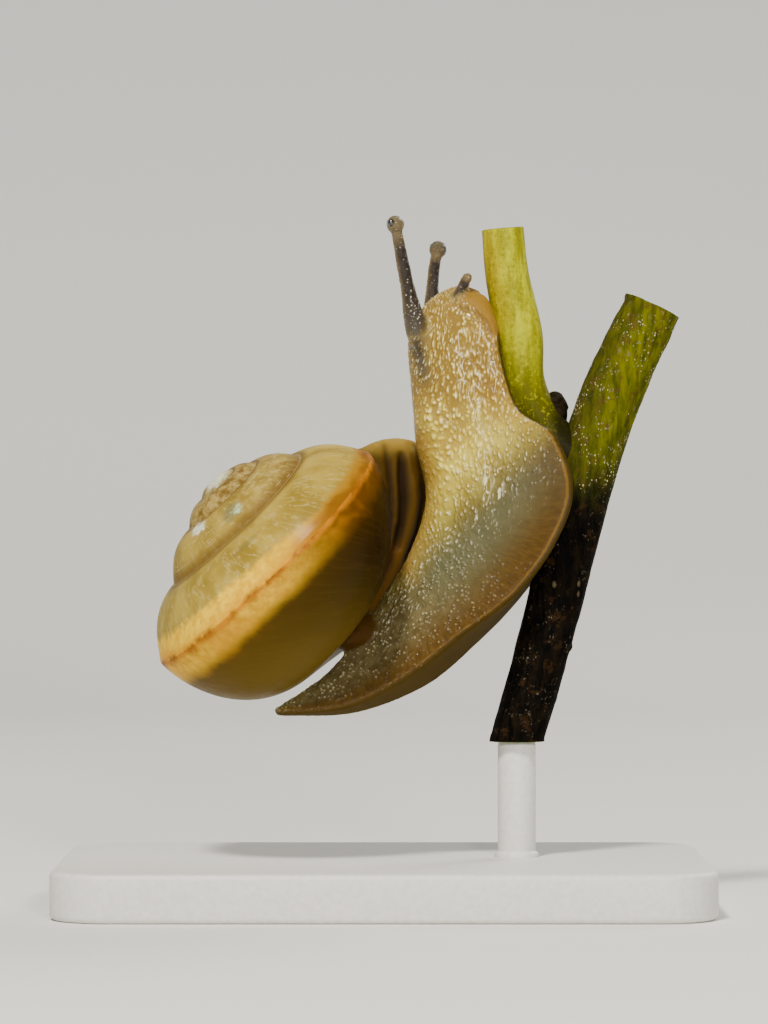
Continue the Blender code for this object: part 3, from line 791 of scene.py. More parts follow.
def body_shell(stock):
    """The long loft from tail to snout. Notes: station, then place round: 0 back, 1 rim, 2 sole."""
    back, sole_count, steps = 56, 14, 14
    points, notes = [], []
    count = (len(STATIONS) - 1) * steps
    for i in range(count + 1):
        where = i / steps
        back_x, back_z, sole_x, sole_z, rim, flank, roll = at_station(where)
        sole = Vector((sole_x, 0.0, sole_z))
        up = Vector((back_x, 0.0, back_z)) - sole
        height = up.length
        up.normalize()
        turn = math.radians(roll)
        across = Vector((0.0, -1.0, 0.0)) * math.cos(turn) + up * math.sin(turn)
        lift = (up - across * up.dot(across)).normalized()
        for j in range(back + 1):
            angle = math.pi * j / back
            cosine, sine = math.cos(angle), math.sin(angle)
            side = flank * cosine + (rim - flank) * math.copysign(abs(cosine) ** RIM_SHARPNESS, cosine)
            high = SOLE_EDGE + (height - SOLE_EDGE) * max(sine, 0.0) ** BACK_POWER
            points.append(sole + across * side + lift * high)
            notes.append((where, abs(1.0 - 2.0 * j / back), 0.0))
        for j in range(1, sole_count):
            side = -rim + 2.0 * rim * j / sole_count
            points.append(sole + across * side * 0.985)
            depth = 1.0 - abs(1.0 - 2.0 * j / sole_count)
            notes.append((where, 1.0 + depth, 0.0))
    stock.add(points, rings_to_faces(count + 1, back + sole_count), notes)


def feeler_path(name):
    """Centre, radius and note of each ring of a feeler, from inside the head to the end of its tip.

    Then the number of rings sunk in the head, the centre of the bulb and the way the feeler points.
    """
    root, middle, tip = (Vector(place) for place in FEELERS[name][:3])
    low, mid, high = FEELERS[name][3:]
    upper = "upper" in name
    along = (tip - middle).normalized()
    inward = Vector((0.55, -0.5 * math.copysign(1.0, root.y), 0.0)) * (1.0 if upper else 0.4)
    sunk = 16 if upper else 5
    path = []
    for i in range(-sunk, 41):
        part = max(i, 0) / 40.0
        centre = root * (1 - part) ** 2 + middle * 2 * part * (1 - part) + tip * part ** 2
        if i < 0:
            centre = centre + (root - middle).normalized() * (-i * 0.13) + inward * (-i / 16.0) ** 1.2
        if part < 0.5:
            radius = low + (mid - low) * float(smoothstep(0.0, 0.5, part))
        else:
            radius = mid + (high - mid) * float(smoothstep(0.5, 1.0, part))
        radius *= 1.0 - 0.55 * (max(-i, 0) / 16.0) ** 1.5
        path.append((centre, radius, part * 0.8))
    end = BULB_RADIUS if upper else high
    centre = tip + along * (end * 0.7 if upper else 0.0)
    first = -50 if upper else 0
    for i in range(1, 13):
        angle = math.radians(first + (88 - first) * i / 12)
        path.append((centre + along * end * math.sin(angle), end * math.cos(angle), 0.8 + 0.2 * i / 12))
    return path, sunk, centre, along


def feeler_shells(stock):
    """The four feelers. Notes: how far along, then the angle from the side faces."""
    seats = {}
    for name in FEELERS:
        path, sunk, centre, along = feeler_path(name)
        side = along.cross(Vector((0.0, 1.0, 0.0))).normalized()
        other = along.cross(side).normalized()
        points, notes = [], []
        for step, (place, radius, part) in enumerate(path):
            for j in range(FEELER_SIDES):
                angle = math.tau * j / FEELER_SIDES
                points.append(place + (side * math.cos(angle) + other * math.sin(angle)) * radius)
                notes.append(HEAD_NOTE if step < sunk else (part, abs(math.sin(angle - 0.35)), 1.0))
        stock.add(points, rings_to_faces(len(path), FEELER_SIDES), notes)
        if "upper" in name:
            outward = Vector((0.0, -1.0 if "right" in name else 1.0, 0.0))
            look = (along * 0.15 + outward * 0.7 - Vector((0.5, 0.0, 0.0))).normalized()
            seats[name.rsplit("_", 1)[1]] = (centre + look * EYE_SET, look)
    return seats


def lip_shells(stock):
    """The two soft lobes beside the mouth. Notes: how far down."""
    rings, around = 24, 32
    reach, aside, down = LIP_LOBE_RADII
    for way in (-1.0, 1.0):
        centre = (LIP_LOBE_AT[0], LIP_LOBE_AT[1] * way, LIP_LOBE_AT[2])
        pole = (-LIP_LOBE_LEAN, 0.0, down)
        points = lump(centre, (reach, 0.0, 0.0), (0.0, aside, 0.0), pole, rings, around)
        notes = [(i / rings, 0.0, 2.0) for i in range(1, rings) for _ in range(around)]
        stock.add(points, rings_to_faces(rings - 1, around), notes)


def mantle_root(stock):
    """The soft lump where the mantle meets the tail, under the mouth."""
    points = lump(ROOT_LUMP_AT, (1.35, 0.0, 0.55), (0.0, 1.35, 0.0), (-0.5, 0.0, 0.85), 16, 24)
    stock.add(points, rings_to_faces(15, 24), [(0.9, 0.5, 3.0)] * len(points))


def collar_shell(stock):
    """The mantle's edge in the mouth. Notes: how far along the lip, then across it."""
    lengths, widths = 84, 36
    inner, outer = [], []
    for i in range(lengths + 1):
        part = COLLAR_SPAN[0] + (COLLAR_SPAN[1] - COLLAR_SPAN[0]) * i / lengths
        inner.append(base_point(LIP_TURN - 2.0, part))
        if part < COLLAR_TOP_SHARE:
            outer.append(upper_point(LIP_TURN, part / COLLAR_TOP_SHARE))
        else:
            outer.append(base_point(LIP_TURN, (part - COLLAR_TOP_SHARE) / (1.0 - COLLAR_TOP_SHARE)))
    normal = Vector()
    for i in range(lengths):
        normal += (outer[i + 1] - inner[i]).cross(outer[i] - inner[i + 1])
    normal.normalize()
    if normal.y > 0:
        normal.negate()
    top, bottom, notes = [], [], []
    for i, (low, high) in enumerate(zip(inner, outer)):
        step = COLLAR_STEPS * i / lengths
        along = math.sin(math.pi * (step + 0.5) / (COLLAR_STEPS + 1.0)) ** 0.35
        across = (high - low).normalized()
        crest = COLLAR_CREST * math.sin(math.pi * min((step + 0.3) / (COLLAR_STEPS / 2.0), 1.0)) ** 1.5
        width = (high - low).length
        high = high + across * (COLLAR_SPREAD + crest)
        for j in range(widths + 1):
            part = j / widths
            place = low.lerp(high, part)
            dome = max(1.0 - abs(2.0 * part - 1.0) ** 3.0, 0.0) ** 0.5
            past_lip = smoothstep(-0.40, -0.05, (place - low).length - width)
            top.append(place + normal * (COLLAR_LIFT + 0.25 + COLLAR_RISE * dome * along))
            bottom.append(place + normal * (COLLAR_LIFT * past_lip - COLLAR_TUCK * (1.0 - past_lip)))
            notes.append((i / lengths, part, 3.0))
    wide = widths + 1
    half = len(top)
    faces = []
    for i in range(lengths):
        for j in range(widths):
            a, b, c, d = i * wide + j, (i + 1) * wide + j, (i + 1) * wide + j + 1, i * wide + j + 1
            faces.append((a, b, c, d))
            faces.append((a + half, d + half, c + half, b + half))
        for j in (0, widths):
            a, b = i * wide + j, (i + 1) * wide + j
            faces.append((a, a + half, b + half, b))
    for i in (0, lengths):
        for j in range(widths):
            a, b = i * wide + j, i * wide + j + 1
            faces.append((a, b, b + half, a + half))
    stock.add(top + bottom, faces, notes + notes)


def line_weight(places, line, width):
    """1 on a line drawn in x and z on the right side, falling off over its width."""
    flat = places[:, [0, 2]]
    nearest = np.full(len(flat), 1e9)
    for start, end in zip(line, line[1:]):
        start, end = np.array(start), np.array(end)
        reach = end - start
        part = np.clip(((flat - start) @ reach) / (reach @ reach), 0.0, 1.0)
        gap = np.linalg.norm(flat - start - part[:, None] * reach, axis=1)
        nearest = np.minimum(nearest, gap)
    return np.exp(-(nearest / width) ** 2)


class Weave:
    """Which points of the skin are joined by an edge."""

    def __init__(self, mesh):
        self.ends = mesh_values(mesh.edges, "vertices", 2, np.int32)
        self.counts = np.bincount(self.ends.ravel(), minlength=len(mesh.vertices)).astype(float)

    def mean(self, values, passes=1):
        """Each point's values, averaged over its neighbours."""
        first, second = self.ends.T
        for _ in range(passes):
            total = [
                np.bincount(first, column[second], len(column))
                + np.bincount(second, column[first], len(column))
                for column in values.T
            ]
            values = np.stack(total, axis=1) / self.counts[:, None]
        return values


def grown_skin(stock):
    """One closed mesh round all the shells, evenly grained and smoothed without shrinking."""
    source = add_piece("flesh_stock", mesh_of("flesh_stock", np.vstack(stock.points), stock.faces))
    grow = source.modifiers.new("grow", "REMESH")
    grow.mode = "VOXEL"
    grow.voxel_size = SKIN_GRAIN
    mesh = plain_mesh(source, "grown_flesh")
    weave = Weave(mesh)
    places = mesh_values(mesh.vertices, "co", 3)
    for _ in range(SKIN_PASSES):
        places = places + SMOOTH_IN * (weave.mean(places) - places)
        places = places - SMOOTH_OUT * (weave.mean(places) - places)
    return mesh, places, weave


def read_notes(stock, places, weave):
    """The notes of the nearest stock point, with the kinds softened a little across the joins."""
    points = np.vstack(stock.points)
    tree = kdtree.KDTree(len(points))
    for i, point in enumerate(points):
        tree.insert(point, i)
    tree.balance()
    notes = np.vstack(stock.notes)[[tree.find(place)[1] for place in places]]
    kinds = np.stack([notes[:, 2] == kind for kind in range(4)], axis=1).astype(float)
    return notes, weave.mean(kinds, KIND_PASSES)


def rounded_joins(places, kinds, weave):
    """The skin's points, drawn smooth where two parts meet."""
    joins = np.clip(4.0 * (kinds * (1.0 - kinds)).max(axis=1), 0.0, 1.0)
    joins = np.maximum(joins, line_weight(places, ROOT_LINE, 0.75) * (places[:, 1] < 0.0))
    joins = np.maximum(joins, line_weight(places, TUCK_LINE, 0.7))[:, None]
    for _ in range(JOIN_PASSES):
        places = places + JOIN_PULL * joins * (weave.mean(places) - places)
    return places


def skin_masks(places, normals, notes, kinds):
    """Where each part of the skin lies, and how far its folds move it in or out.

    The masks run from 0 to 1, apart from girth, which is the place round the body.
    """
    where, around = notes[:, 0], notes[:, 1]
    body, feeler, lip, collar = kinds.T
    not_collar = 1.0 - collar
    right = smoothstep(0.05, 0.45, -normals[:, 1])
    to_right = smoothstep(-0.5, 0.05, -normals[:, 1])
    side_on = smoothstep(-0.1, 0.5, np.abs(normals[:, 1]))
    x, z = places[:, 0], places[:, 2]
    above = (z - NECK_END_AT[1]) * NECK_END_FACING[1] + (x - NECK_END_AT[0]) * NECK_END_FACING[0]

    def near(line, width):
        return line_weight(places, line, width)

    on_sole = body * smoothstep(1.03, 1.15, around)
    flank = body * (1.0 - on_sole)
    shade = not_collar * flank * to_right * near(COLLAR_SHADE, 0.85)
    # where the painted glints go: bead outlines down the wrinkles, wet sparks below them
    links = np.max([near(line, 0.17) for line in LINK_LINES], axis=0)
    chain = np.maximum(near(GLINT_LINES[0], 0.16), near(GLINT_LINES[1], 0.20))
    by_rim = smoothstep(0.68, 1.0, np.minimum(around, 2.0 - around))
    lip_edge = not_collar * (1.0 - feeler) * side_on * near(LIP_LINE, 0.42) * 1.4
    streak_end = smoothstep(26.6, 28.4, z) * (1.0 - feeler * smoothstep(0.1, 0.3, where))
    lip_fold = near(LIP_FOLD, 0.11) * side_on * not_collar
    masks = {
        "neck": flank * smoothstep(-1.2, 4.0, above),
        "grain": flank * smoothstep(-3.2, 1.2, above) * (1.0 - 0.80 * shade),
        "links": flank * right * links,
        "chain": flank * right * chain,
        "head": np.clip(flank * smoothstep(11.2, 12.6, where), 0, 1),
        "haze": flank * near(HAZE_LINE, 1.65) * (1.0 - 0.7 * smoothstep(-0.5, 2.4, above)),
        "rear": flank * (1.0 - smoothstep(4.2, 6.2, where)),
        "girth": around,
        "rim": body * smoothstep(0.5, 1.5, where) * (1.0 - smoothstep(11.5, 12.5, where)),
        "fringe": body * by_rim * (0.66 + 0.34 * (1.0 - smoothstep(18.5, 23.0, z))),
        "sole": on_sole,
        "feeler": feeler * smoothstep(-0.02, 0.12, where),
        "reach": feeler * where,
        "core": feeler * smoothstep(0.10, 0.62, around),
        "shade": shade,
        "lip": np.clip(lip + lip_edge, 0, 1),
        "lip_fold": lip_fold,
        "collar": collar,
        "streak": not_collar * to_right * near(STREAK, 0.40) * streak_end,
        "arch": collar * smoothstep(23.3, 24.5, z),
        "tuck": collar * (1.0 - smoothstep(14.9, 15.6, z)),
        "tongue": collar * near(TONGUE_LINE, 0.55),
        # painted shade round the mantle's main furrow
        "dusk": collar * near(FURROWS[0][0], 0.5) * right,
    }
    furrow, crest, shift = np.zeros((3, len(places)))
    for line, width, depth in FURROWS:
        weight = near(line, width) * right
        furrow = np.maximum(furrow, weight)
        shift = shift - weight * depth
    for line, width, height in RIDGES:
        weight = near(line, width) * right * collar
        crest = np.maximum(crest, weight)
        shift = shift + weight * height
    masks["furrow"] = furrow * np.clip(collar * 1.6, 0, 1)
    masks["crest"] = crest
    return masks, shift * np.clip(collar * 1.5, 0, 1) - lip_fold * 0.10


def along_neck(net, place, stretch):
    """Places drawn out along the neck: upright in front, slanting toward the back."""
    x, y, z = net.split(net.warp(place, 0.8, 0.35))
    return net.vector(x - (x - 3.3).step(-1.6, 0.4, 0.42, 0.0) * (z - 27.0), y, z * stretch)


def bead_relief(net, place):
    """Height of the skin's grain: beads on the neck, small dots lower down and on the feelers."""
    grain = net.mask("grain") * (1.0 - net.mask("lip"))
    rear, haze, feeler = net.mask("rear"), net.mask("haze"), net.mask("feeler")
    beads = net.cells(along_neck(net, place, 0.72), 4.3).fall(0.06, 0.56)
    long_beads = net.cells(along_neck(net, place, 0.36), 3.9).fall(0.05, 0.50)
    rough = net.noise(place, 0.33, 1.0).step(0.58, 0.68, 1.0, 0.45)
    dots = net.cells(place, 4.1).fall(0.05, 0.46)
    crowd = net.noise(place, 1.1, 3.0, 0.65).step(0.40, 0.58)
    grit = net.cells(place, 6.5).fall(0.05, 0.50)
    lower = dots * (rear * 0.25 + rear * crowd * 0.75 + haze * 0.10)
    return (beads * 0.8).most(long_beads * 0.9) * rough * grain + lower + grit * feeler * 0.45


def painted_glint_strokes(net, place):
    """Painted glints: pale dashes and dots on the neck's beads, links down its main wrinkles, wet sparks
    below them.
    """
    grain = net.mask("grain") * (1.0 - net.mask("lip"))
    grain = grain * (1.0 - net.mask("sole")) * (1.0 - net.mask("fringe") * 0.8)
    dash = net.cells(along_neck(net, place, 0.36), 3.9).fall(0.10, 0.22)
    some = net.noise(place, 1.7, 2.0, 0.6).step(0.40, 0.50)
    fine_dash = net.cells(along_neck(net, place, 0.30), 5.6).fall(0.10, 0.22)
    fine_some = net.noise(place, 1.4, 2.0, 0.6).step(0.44, 0.54)
    dots = net.cells(along_neck(net, place, 0.72), 4.3).fall(0.08, 0.24)
    sparse = net.noise(place, 2.1, 2.0, 0.6).step(0.34, 0.46)
    spread = (dash * some * 0.9).most(dots * sparse * 0.95).most(fine_dash * fine_some * 0.7) * grain

    x, y, z = net.split(net.warp(place, 3.0, 0.10))
    outline = net.cells(net.vector(x, y, z * 0.34), 3.6, "DISTANCE_TO_EDGE").fall(0.02, 0.085)
    broken = net.noise(place, 2.4, 1.0).step(0.42, 0.48)
    x, y, z = net.split(place)
    sparks = net.noise(net.vector(x, y, z * 0.5), 3.4, 1.0).step(0.60, 0.64) * net.mask("chain")
    return spread.most(outline * broken * net.mask("links") * 0.9).most(sparks)


def fan_streaks(net, place, count, length):
    """Short streaks that spread like a fan from the mantle to the edge of the foot."""
    x, _, z = net.split(place)
    x, z = x - 0.5, z - 21.0
    turn = net.math("ARCTAN2", z, x)
    reach = net.math("SQRT", x * x + z * z)
    return net.noise(net.vector(turn * count, reach * length, 2.0), 1.0, 3.0, 0.6)


def body_tone(net, place, cloud, mottle):
    """Dark foot with pale flecks toward the tail, amber edge, bright neck and head, brown sole; foot, haze
    and amber edge darker partly as painted shade.
    """
    neck, rear, fringe = net.mask("neck"), net.mask("rear"), net.mask("fringe")
    _, _, z = net.split(place)
    fan = fan_streaks(net, place, 14.0, 0.5).step(0.35, 0.75)
    fine_fan = fan_streaks(net, place, 44.0, 1.6)
    foot = net.colour(cloud.step(0.35, 0.65), (0.056, 0.038, 0.007), (0.086, 0.058, 0.012))
    tail = net.colour(mottle.step(0.35, 0.65), (0.085, 0.064, 0.023), (0.130, 0.102, 0.042))
    flecks = net.cells(place, 4.1).fall(0.10, 0.40)
    flecks = flecks * net.noise(place, 1.1, 3.0, 0.65).step(0.38, 0.58)
    misty = net.colour(cloud, (0.070, 0.067, 0.029), (0.115, 0.111, 0.053))
    misty = net.colour(fan * 0.4, misty, (0.150, 0.140, 0.070))
    amber = net.colour(fine_fan.step(0.30, 0.72), (0.052, 0.023, 0.0010), (0.088, 0.042, 0.003))
    upper = net.colour(cloud.step(0.35, 0.68), (0.35, 0.245, 0.034), (0.49, 0.355, 0.056))
    lower = net.colour(cloud.step(0.35, 0.68), (0.74, 0.55, 0.066), (1.0, 0.85, 0.135))
    edge = net.colour(fine_fan.step(0.3, 0.7), (0.23, 0.115, 0.010), (0.36, 0.21, 0.035))
    return net.coats(
        # foot, haze and amber edge: darker partly as painted shade
        foot,
        (rear, tail),
        (flecks * rear * 0.66, (0.42, 0.355, 0.19)),
        (net.mask("haze"), misty),
        (fringe * 0.88, amber),
        (neck, net.colour(z.fall(24.0, 27.5), upper, lower)),
        (fringe * neck * 0.8, edge),
        (net.mask("head") * 0.6, (0.36, 0.24, 0.040)),
        (net.mask("sole") * 0.97, (0.052, 0.030, 0.0015)),
    )


def feeler_tone(net, place):
    """Dark core in a clearer sleeve, paler toward the bulb, with painted glints as sparks, most on the near
    side.
    """
    reach, core = net.mask("reach"), net.mask("core")
    _, y, _ = net.split(place)
    painted_sparkle = net.cells(place, 5.0).fall(0.08, 0.26) * reach.step(0.0, 0.60, 1.0, 0.35)
    return net.coats(
        net.colour(core, (0.15, 0.100, 0.036), (0.020, 0.014, 0.011)),
        (reach.step(0.05, 0.35, 0.6, 0.0), (0.070, 0.056, 0.040)),
        (reach.step(0.62, 0.80), (0.130, 0.092, 0.040)),
        (reach.step(0.84, 0.90), (0.105, 0.086, 0.044)),
        (y.step(0.5, 1.2) * reach.step(0.78, 0.88) * 0.5, (0.050, 0.046, 0.032)),
        # painted glints, fewer on the far side
        (painted_sparkle * (core * 0.7 + 0.3) * y.step(0.4, 1.1, 1.0, 0.35), (0.66, 0.60, 0.44)),
    )


def mantle_tone(net, cloud, mottle):
    """Brown mantle edge: a yellow arch on top, furrows darkened with painted shade, paler crests and a
    rusty tongue.
    """
    furrow = net.mask("furrow")
    return net.coats(
        net.colour(cloud.step(0.3, 0.7), (0.035, 0.018, 0.0010), (0.064, 0.033, 0.0025)),
        # painted shade round the main furrow
        (net.mask("dusk") * 0.92, (0.013, 0.006, 0.0006)),
        (net.mask("crest") * 0.6, (0.135, 0.070, 0.008)),
        (net.mask("tongue") * 0.8, (0.125, 0.055, 0.003)),
        # painted shade in the furrows
        (furrow * 0.75, (0.010, 0.0035, 0.0005)),
        (net.mask("arch") * (1.0 - furrow * 0.7), (0.24, 0.155, 0.022)),
        (net.mask("tuck"), net.colour(mottle, (0.034, 0.013, 0.0005), (0.062, 0.027, 0.0015))),
    )


def skin_finish():
    """Wet, slightly clear flesh. The masks say which part of the body a point is on, and where painted
    glints and painted shade lie.
    """
    net = Finish("wet_flesh", Coat_Weight=0.9, Coat_Roughness=0.10, Coat_IOR=1.38, IOR=1.22,
                 Subsurface_Weight=0.42, Subsurface_Radius=(1.0, 0.55, 0.22), Subsurface_Scale=0.00055,
                 Specular_IOR_Level=0.3)
    place = net.place()
    _, _, z = net.split(place)
    cloud = net.noise(place, 0.5, 3.0, 0.55)
    mottle = net.noise(place, 1.9, 3.0, 0.6)
    neck, sole, streak = net.mask("neck"), net.mask("sole"), net.mask("streak")
    feeler, collar = net.mask("feeler"), net.mask("collar")
    rim = net.mask("rim") * (net.mask("girth") - 1.0).size().fall(0.000, 0.005)
    relief = bead_relief(net, place)
    painted_glints = painted_glint_strokes(net, place)
    groove = (neck * (1.0 - relief)).step(0.45, 1.0)
    tone = net.coats(
        body_tone(net, place, cloud, mottle),
        (relief.step(0.35, 0.95) * 0.60 * net.mix(neck, 0.35, 1.0), (0.86, 0.72, 0.34)),
        # painted shade in the grooves between the neck's beads
        (groove * z.step(24.0, 27.5, 0.55, 0.75), (0.17, 0.092, 0.012)),
        (net.mask("shade") * 0.92, (0.26, 0.150, 0.026)),
        (streak * 0.92, (0.056, 0.047, 0.036)),
        # painted glints on the neck's beads
        (painted_glints * (0.76 - streak * 0.30), (0.95, 0.88, 0.62)),
        (net.mask("lip"), net.colour(mottle, (0.180, 0.090, 0.006), (0.27, 0.150, 0.018))),
        # painted shade in the crease of the lip fold
        (net.mask("lip_fold") * 0.7, (0.11, 0.055, 0.008)),
        (feeler, feeler_tone(net, place)),
        (collar, mantle_tone(net, cloud, mottle)),
        (rim * 0.6, (0.21, 0.112, 0.012)),
    )
    tiny = net.cells(place, 9.0).fall(0.0, 0.6)
    bump = net.bump(tiny * (neck * 0.5 + feeler * 0.8 + 0.25) + mottle * 0.25, 0.00003, 0.5)
    bump = net.bump(relief, 0.00009, 0.85, bump)
    rough = net.mix(sole, net.mix(relief, 0.42 + collar * 0.2, 0.24), 0.9)
    net.coat_bump(relief + painted_glints * 0.4, 0.00010, 0.9)
    coat = (0.75 - sole * 0.75) * (1.0 - collar * 0.93) * (1.0 - net.mask("fringe") * 0.6)
    return net.set(Base_Color=tone, Normal=bump, Roughness=rough, Coat_Weight=coat)


def skin_piece():
    """Body, head, feelers, lips and mantle edge as one skin over their solids."""
    stock = Stock()
    body_shell(stock)
    seats = feeler_shells(stock)
    lip_shells(stock)
    collar_shell(stock)
    mantle_root(stock)
    mesh, places, weave = grown_skin(stock)
    notes, kinds = read_notes(stock, places, weave)
    places = rounded_joins(places, kinds, weave)
    mesh.vertices.foreach_set("co", places.ravel())
    mesh.update()
    normals = mesh_values(mesh.vertex_normals, "vector", 3)
    masks, shift = skin_masks(places, normals, notes, kinds)
    mesh.vertices.foreach_set("co", (places + normals * shift[:, None]).ravel())
    names = sorted(masks)
    values = weave.mean(np.stack([masks[name] for name in names], axis=1), MASK_PASSES)
    for name, column in zip(names, values.T):
        layer = mesh.attributes.new(name, "FLOAT", "POINT")
        layer.data.foreach_set("value", column.astype(np.float32))
    mesh.update()

    net = Shaper("skin_grain", {"Bead height": 0.055, "Fold height": 0.04})
    folds = net.noise(net.warp(net.position(), 0.5, 0.8), 0.9, 2.0) - 0.5
    height = bead_relief(net, net.position()) * net.sizes["Bead height"]
    height = height + folds * net.sizes["Fold height"] * (1.0 - net.mask("feeler"))
    net.close(net.raise_skin(net.geometry, height - GRAIN_SINK), skin_finish())
    piece = net.run(add_piece("skin_seed", mesh), "snail_skin")
    settle(piece, "flesh", "mantle_collar", "head", "neck", "foot_front", "foot_rear", "tail",
           "tentacle_upper_right", "tentacle_upper_left", "tentacle_lower_right", "tentacle_lower_left",
           "lip_right", "lip_left")
    return seats


# ---------------------------------------------------------------- eyes

def eye_pieces(seats):
    """A dark wet bead in each bulb, with a low dome where it looks out."""
    net = Finish("eye_bead", Coat_Weight=1.0, Coat_Roughness=0.03, Roughness=0.12)
    place = net.place()
    speck = net.noise(place, 9.0, 2.0)
    tone = net.colour(speck.step(0.3, 0.7), (0.004, 0.003, 0.0025), (0.014, 0.010, 0.008))
    finish = net.set(Base_Color=tone, Normal=net.bump(speck, 0.000004, 0.3))
    for side, (seat, look) in seats.items():
        bm = bmesh.new()
        bmesh.ops.create_icosphere(bm, subdivisions=4, radius=EYE_RADIUS)
        for vert in bm.verts:
            facing = vert.co.normalized().dot(look)
            vert.co *= 1.0 + 0.06 * max(facing, 0.0) ** 6
        bmesh.ops.translate(bm, vec=seat, verts=bm.verts)
        name = "eye_bead_" + side
        settle(add_piece(name, carved(name, bm), finish), "eye", "eye_" + side)


# ---------------------------------------------------------------- perch

def limb_path(name, line, radii):
    """The smooth centre line of a stem, with its thickness at each point, in millimetres."""
    curve = bpy.data.curves.new(name, "CURVE")
    curve.dimensions = "3D"
    curve.resolution_u = 24
    spline = curve.splines.new("BEZIER")
    spline.bezier_points.add(len(line) - 1)
    for point, place, radius in zip(spline.bezier_points, line, radii):
        point.co = place
        point.radius = radius
        point.handle_left_type = "AUTO"
        point.handle_right_type = "AUTO"
    return set_out(name, curve)


def limb_piece(name, line, radii, finish, sizes):
    """A length of stem grown along its path, with ribs and knobs, sawn off at the saw height."""
    net = Shaper(name + "_growth", {**sizes, "Saw slope": STEM_SLOPE, "Sides": 72})
    size = net.sizes
    path = net.add("GeometryNodeResampleCurve", {"Curve": net.geometry, "Length": 0.14}, mode="LENGTH")
    path = net.store(path, "run", net.add("GeometryNodeSplineParameter"))
    ring = net.add("GeometryNodeCurvePrimitiveCircle", {"Resolution": size["Sides"], "Radius": 1.0})
    tube = net.add("GeometryNodeCurveToMesh", {
        "Curve": path, "Profile Curve": ring, "Scale": net.add("GeometryNodeInputRadius"),
        "Fill Caps": True})
    x, y, z = net.split(net.position())
    ribs = net.noise(net.vector(x, y, z * 0.22), size["Rib size"], 4.0, 0.62) - 0.5
    knobs = net.cells(net.position(), 0.9).fall(0.0, 0.30)
    height = ribs * size["Rib depth"] + knobs * size["Knob height"]
    tube = net.raise_skin(tube, height - size["Rib depth"] * 0.2)
    x, y, z = net.split(net.position())
    lifted = z.most(size["Saw height"])
    tube = net.put(tube, net.vector(x + (lifted - z) * size["Saw slope"], y, lifted))
    net.close(net.weld(tube, 0.01), finish)
    return net.run(limb_path(name + "_path", line, radii), name)


def sawn_end(net, place, centre, radius, pith, wood, rim):
    """Colour across a sawn end: pith in the middle, faint rings of wood, a darker rim under the skin."""
    x, y, z = net.split(net.warp(place, 1.3, 0.16))
    x, y, z = x - centre[0], y - centre[1], z - centre[2]
    reach = net.math("SQRT", x * x + y * y + z * z) * (1.0 / radius)
    rings = net.noise(net.vector(reach * 9.0, 0.0, 0.0), 1.6, 2.0, 0.6)
    fibre = net.noise(place, 7.0, 3.0, 0.65)
    tone = net.colour((rings * 0.7 + fibre * 0.3).step(0.38, 0.62), wood[0], wood[1])
    tone = net.colour(reach.step(0.16, 0.30, 0.85, 0.0), tone, pith)
    return net.colour(reach.step(0.80, 0.92), tone, rim)


def bark_finish():
    """Green young bark above, blackish below, with rusty patches, pale dust and breathing pores."""
    net = Finish("stem_bark", Coat_Weight=0.0, Specular_IOR_Level=0.1, IOR=1.2)
    place = net.place()
    x, y, z = net.split(place)
    grain = net.noise(net.vector(x, y, z * 0.25), 2.6, 4.0, 0.65)
    patch = net.noise(place, 0.55, 3.0, 0.6)
    height = (z + (patch - 0.5) * 5.0).step(20.5, 25.5)
    side = (x - (z * 0.30 + 3.4) + (patch - 0.5) * 1.6).step(-0.9, 1.3)
    green = net.colour(grain.step(0.3, 0.7), (0.035, 0.042, 0.002), (0.125, 0.125, 0.004))
    black = net.colour(grain.step(0.35, 0.75), (0.001, 0.001, 0.001), (0.009, 0.006, 0.003))
    rust = net.noise(place, 1.5, 4.0, 0.7).step(0.54, 0.64)
    pore = net.cells(net.vector(x, y, z * 0.6), 1.1).fall(0.05, 0.16)
    dust = net.noise(place, 5.5, 3.0, 0.7).step(0.60, 0.68)
    dust = dust * net.noise(place, 0.75, 3.0, 0.6).step(0.46, 0.58)
    sawn_foot = z.fall(STEM_FOOT_Z + 0.002, STEM_FOOT_Z + 0.03)
    cut = (net.mask("run").fall(0.0008, 0.0020) + sawn_foot).least(1.0)
    sawn = sawn_end(net, place, STEM_LINE[0], STEM_RADII[0], (0.20, 0.15, 0.05),
                    ((0.36, 0.30, 0.12), (0.60, 0.52, 0.28)), (0.10, 0.13, 0.02))
    tone = net.coats(
        net.colour(height, black, green),
        (height * (1.0 - side) * 0.55, (0.020, 0.017, 0.005)),
        (rust * (height * 0.35 + 0.20), (0.070, 0.032, 0.009)),
        (pore * 0.5, (0.16, 0.12, 0.055)),
        (dust * 0.55 * height.step(0.0, 1.0, 0.35, 1.0), (0.50, 0.47, 0.33)),
        (cut, sawn),
    )
    bump = net.bump(grain * 0.8 + dust * 0.35 + pore * 0.4, 0.00012, 0.7)
    return net.set(Base_Color=tone, Normal=bump, Roughness=grain.step(0.3, 0.7, 0.55, 0.85))


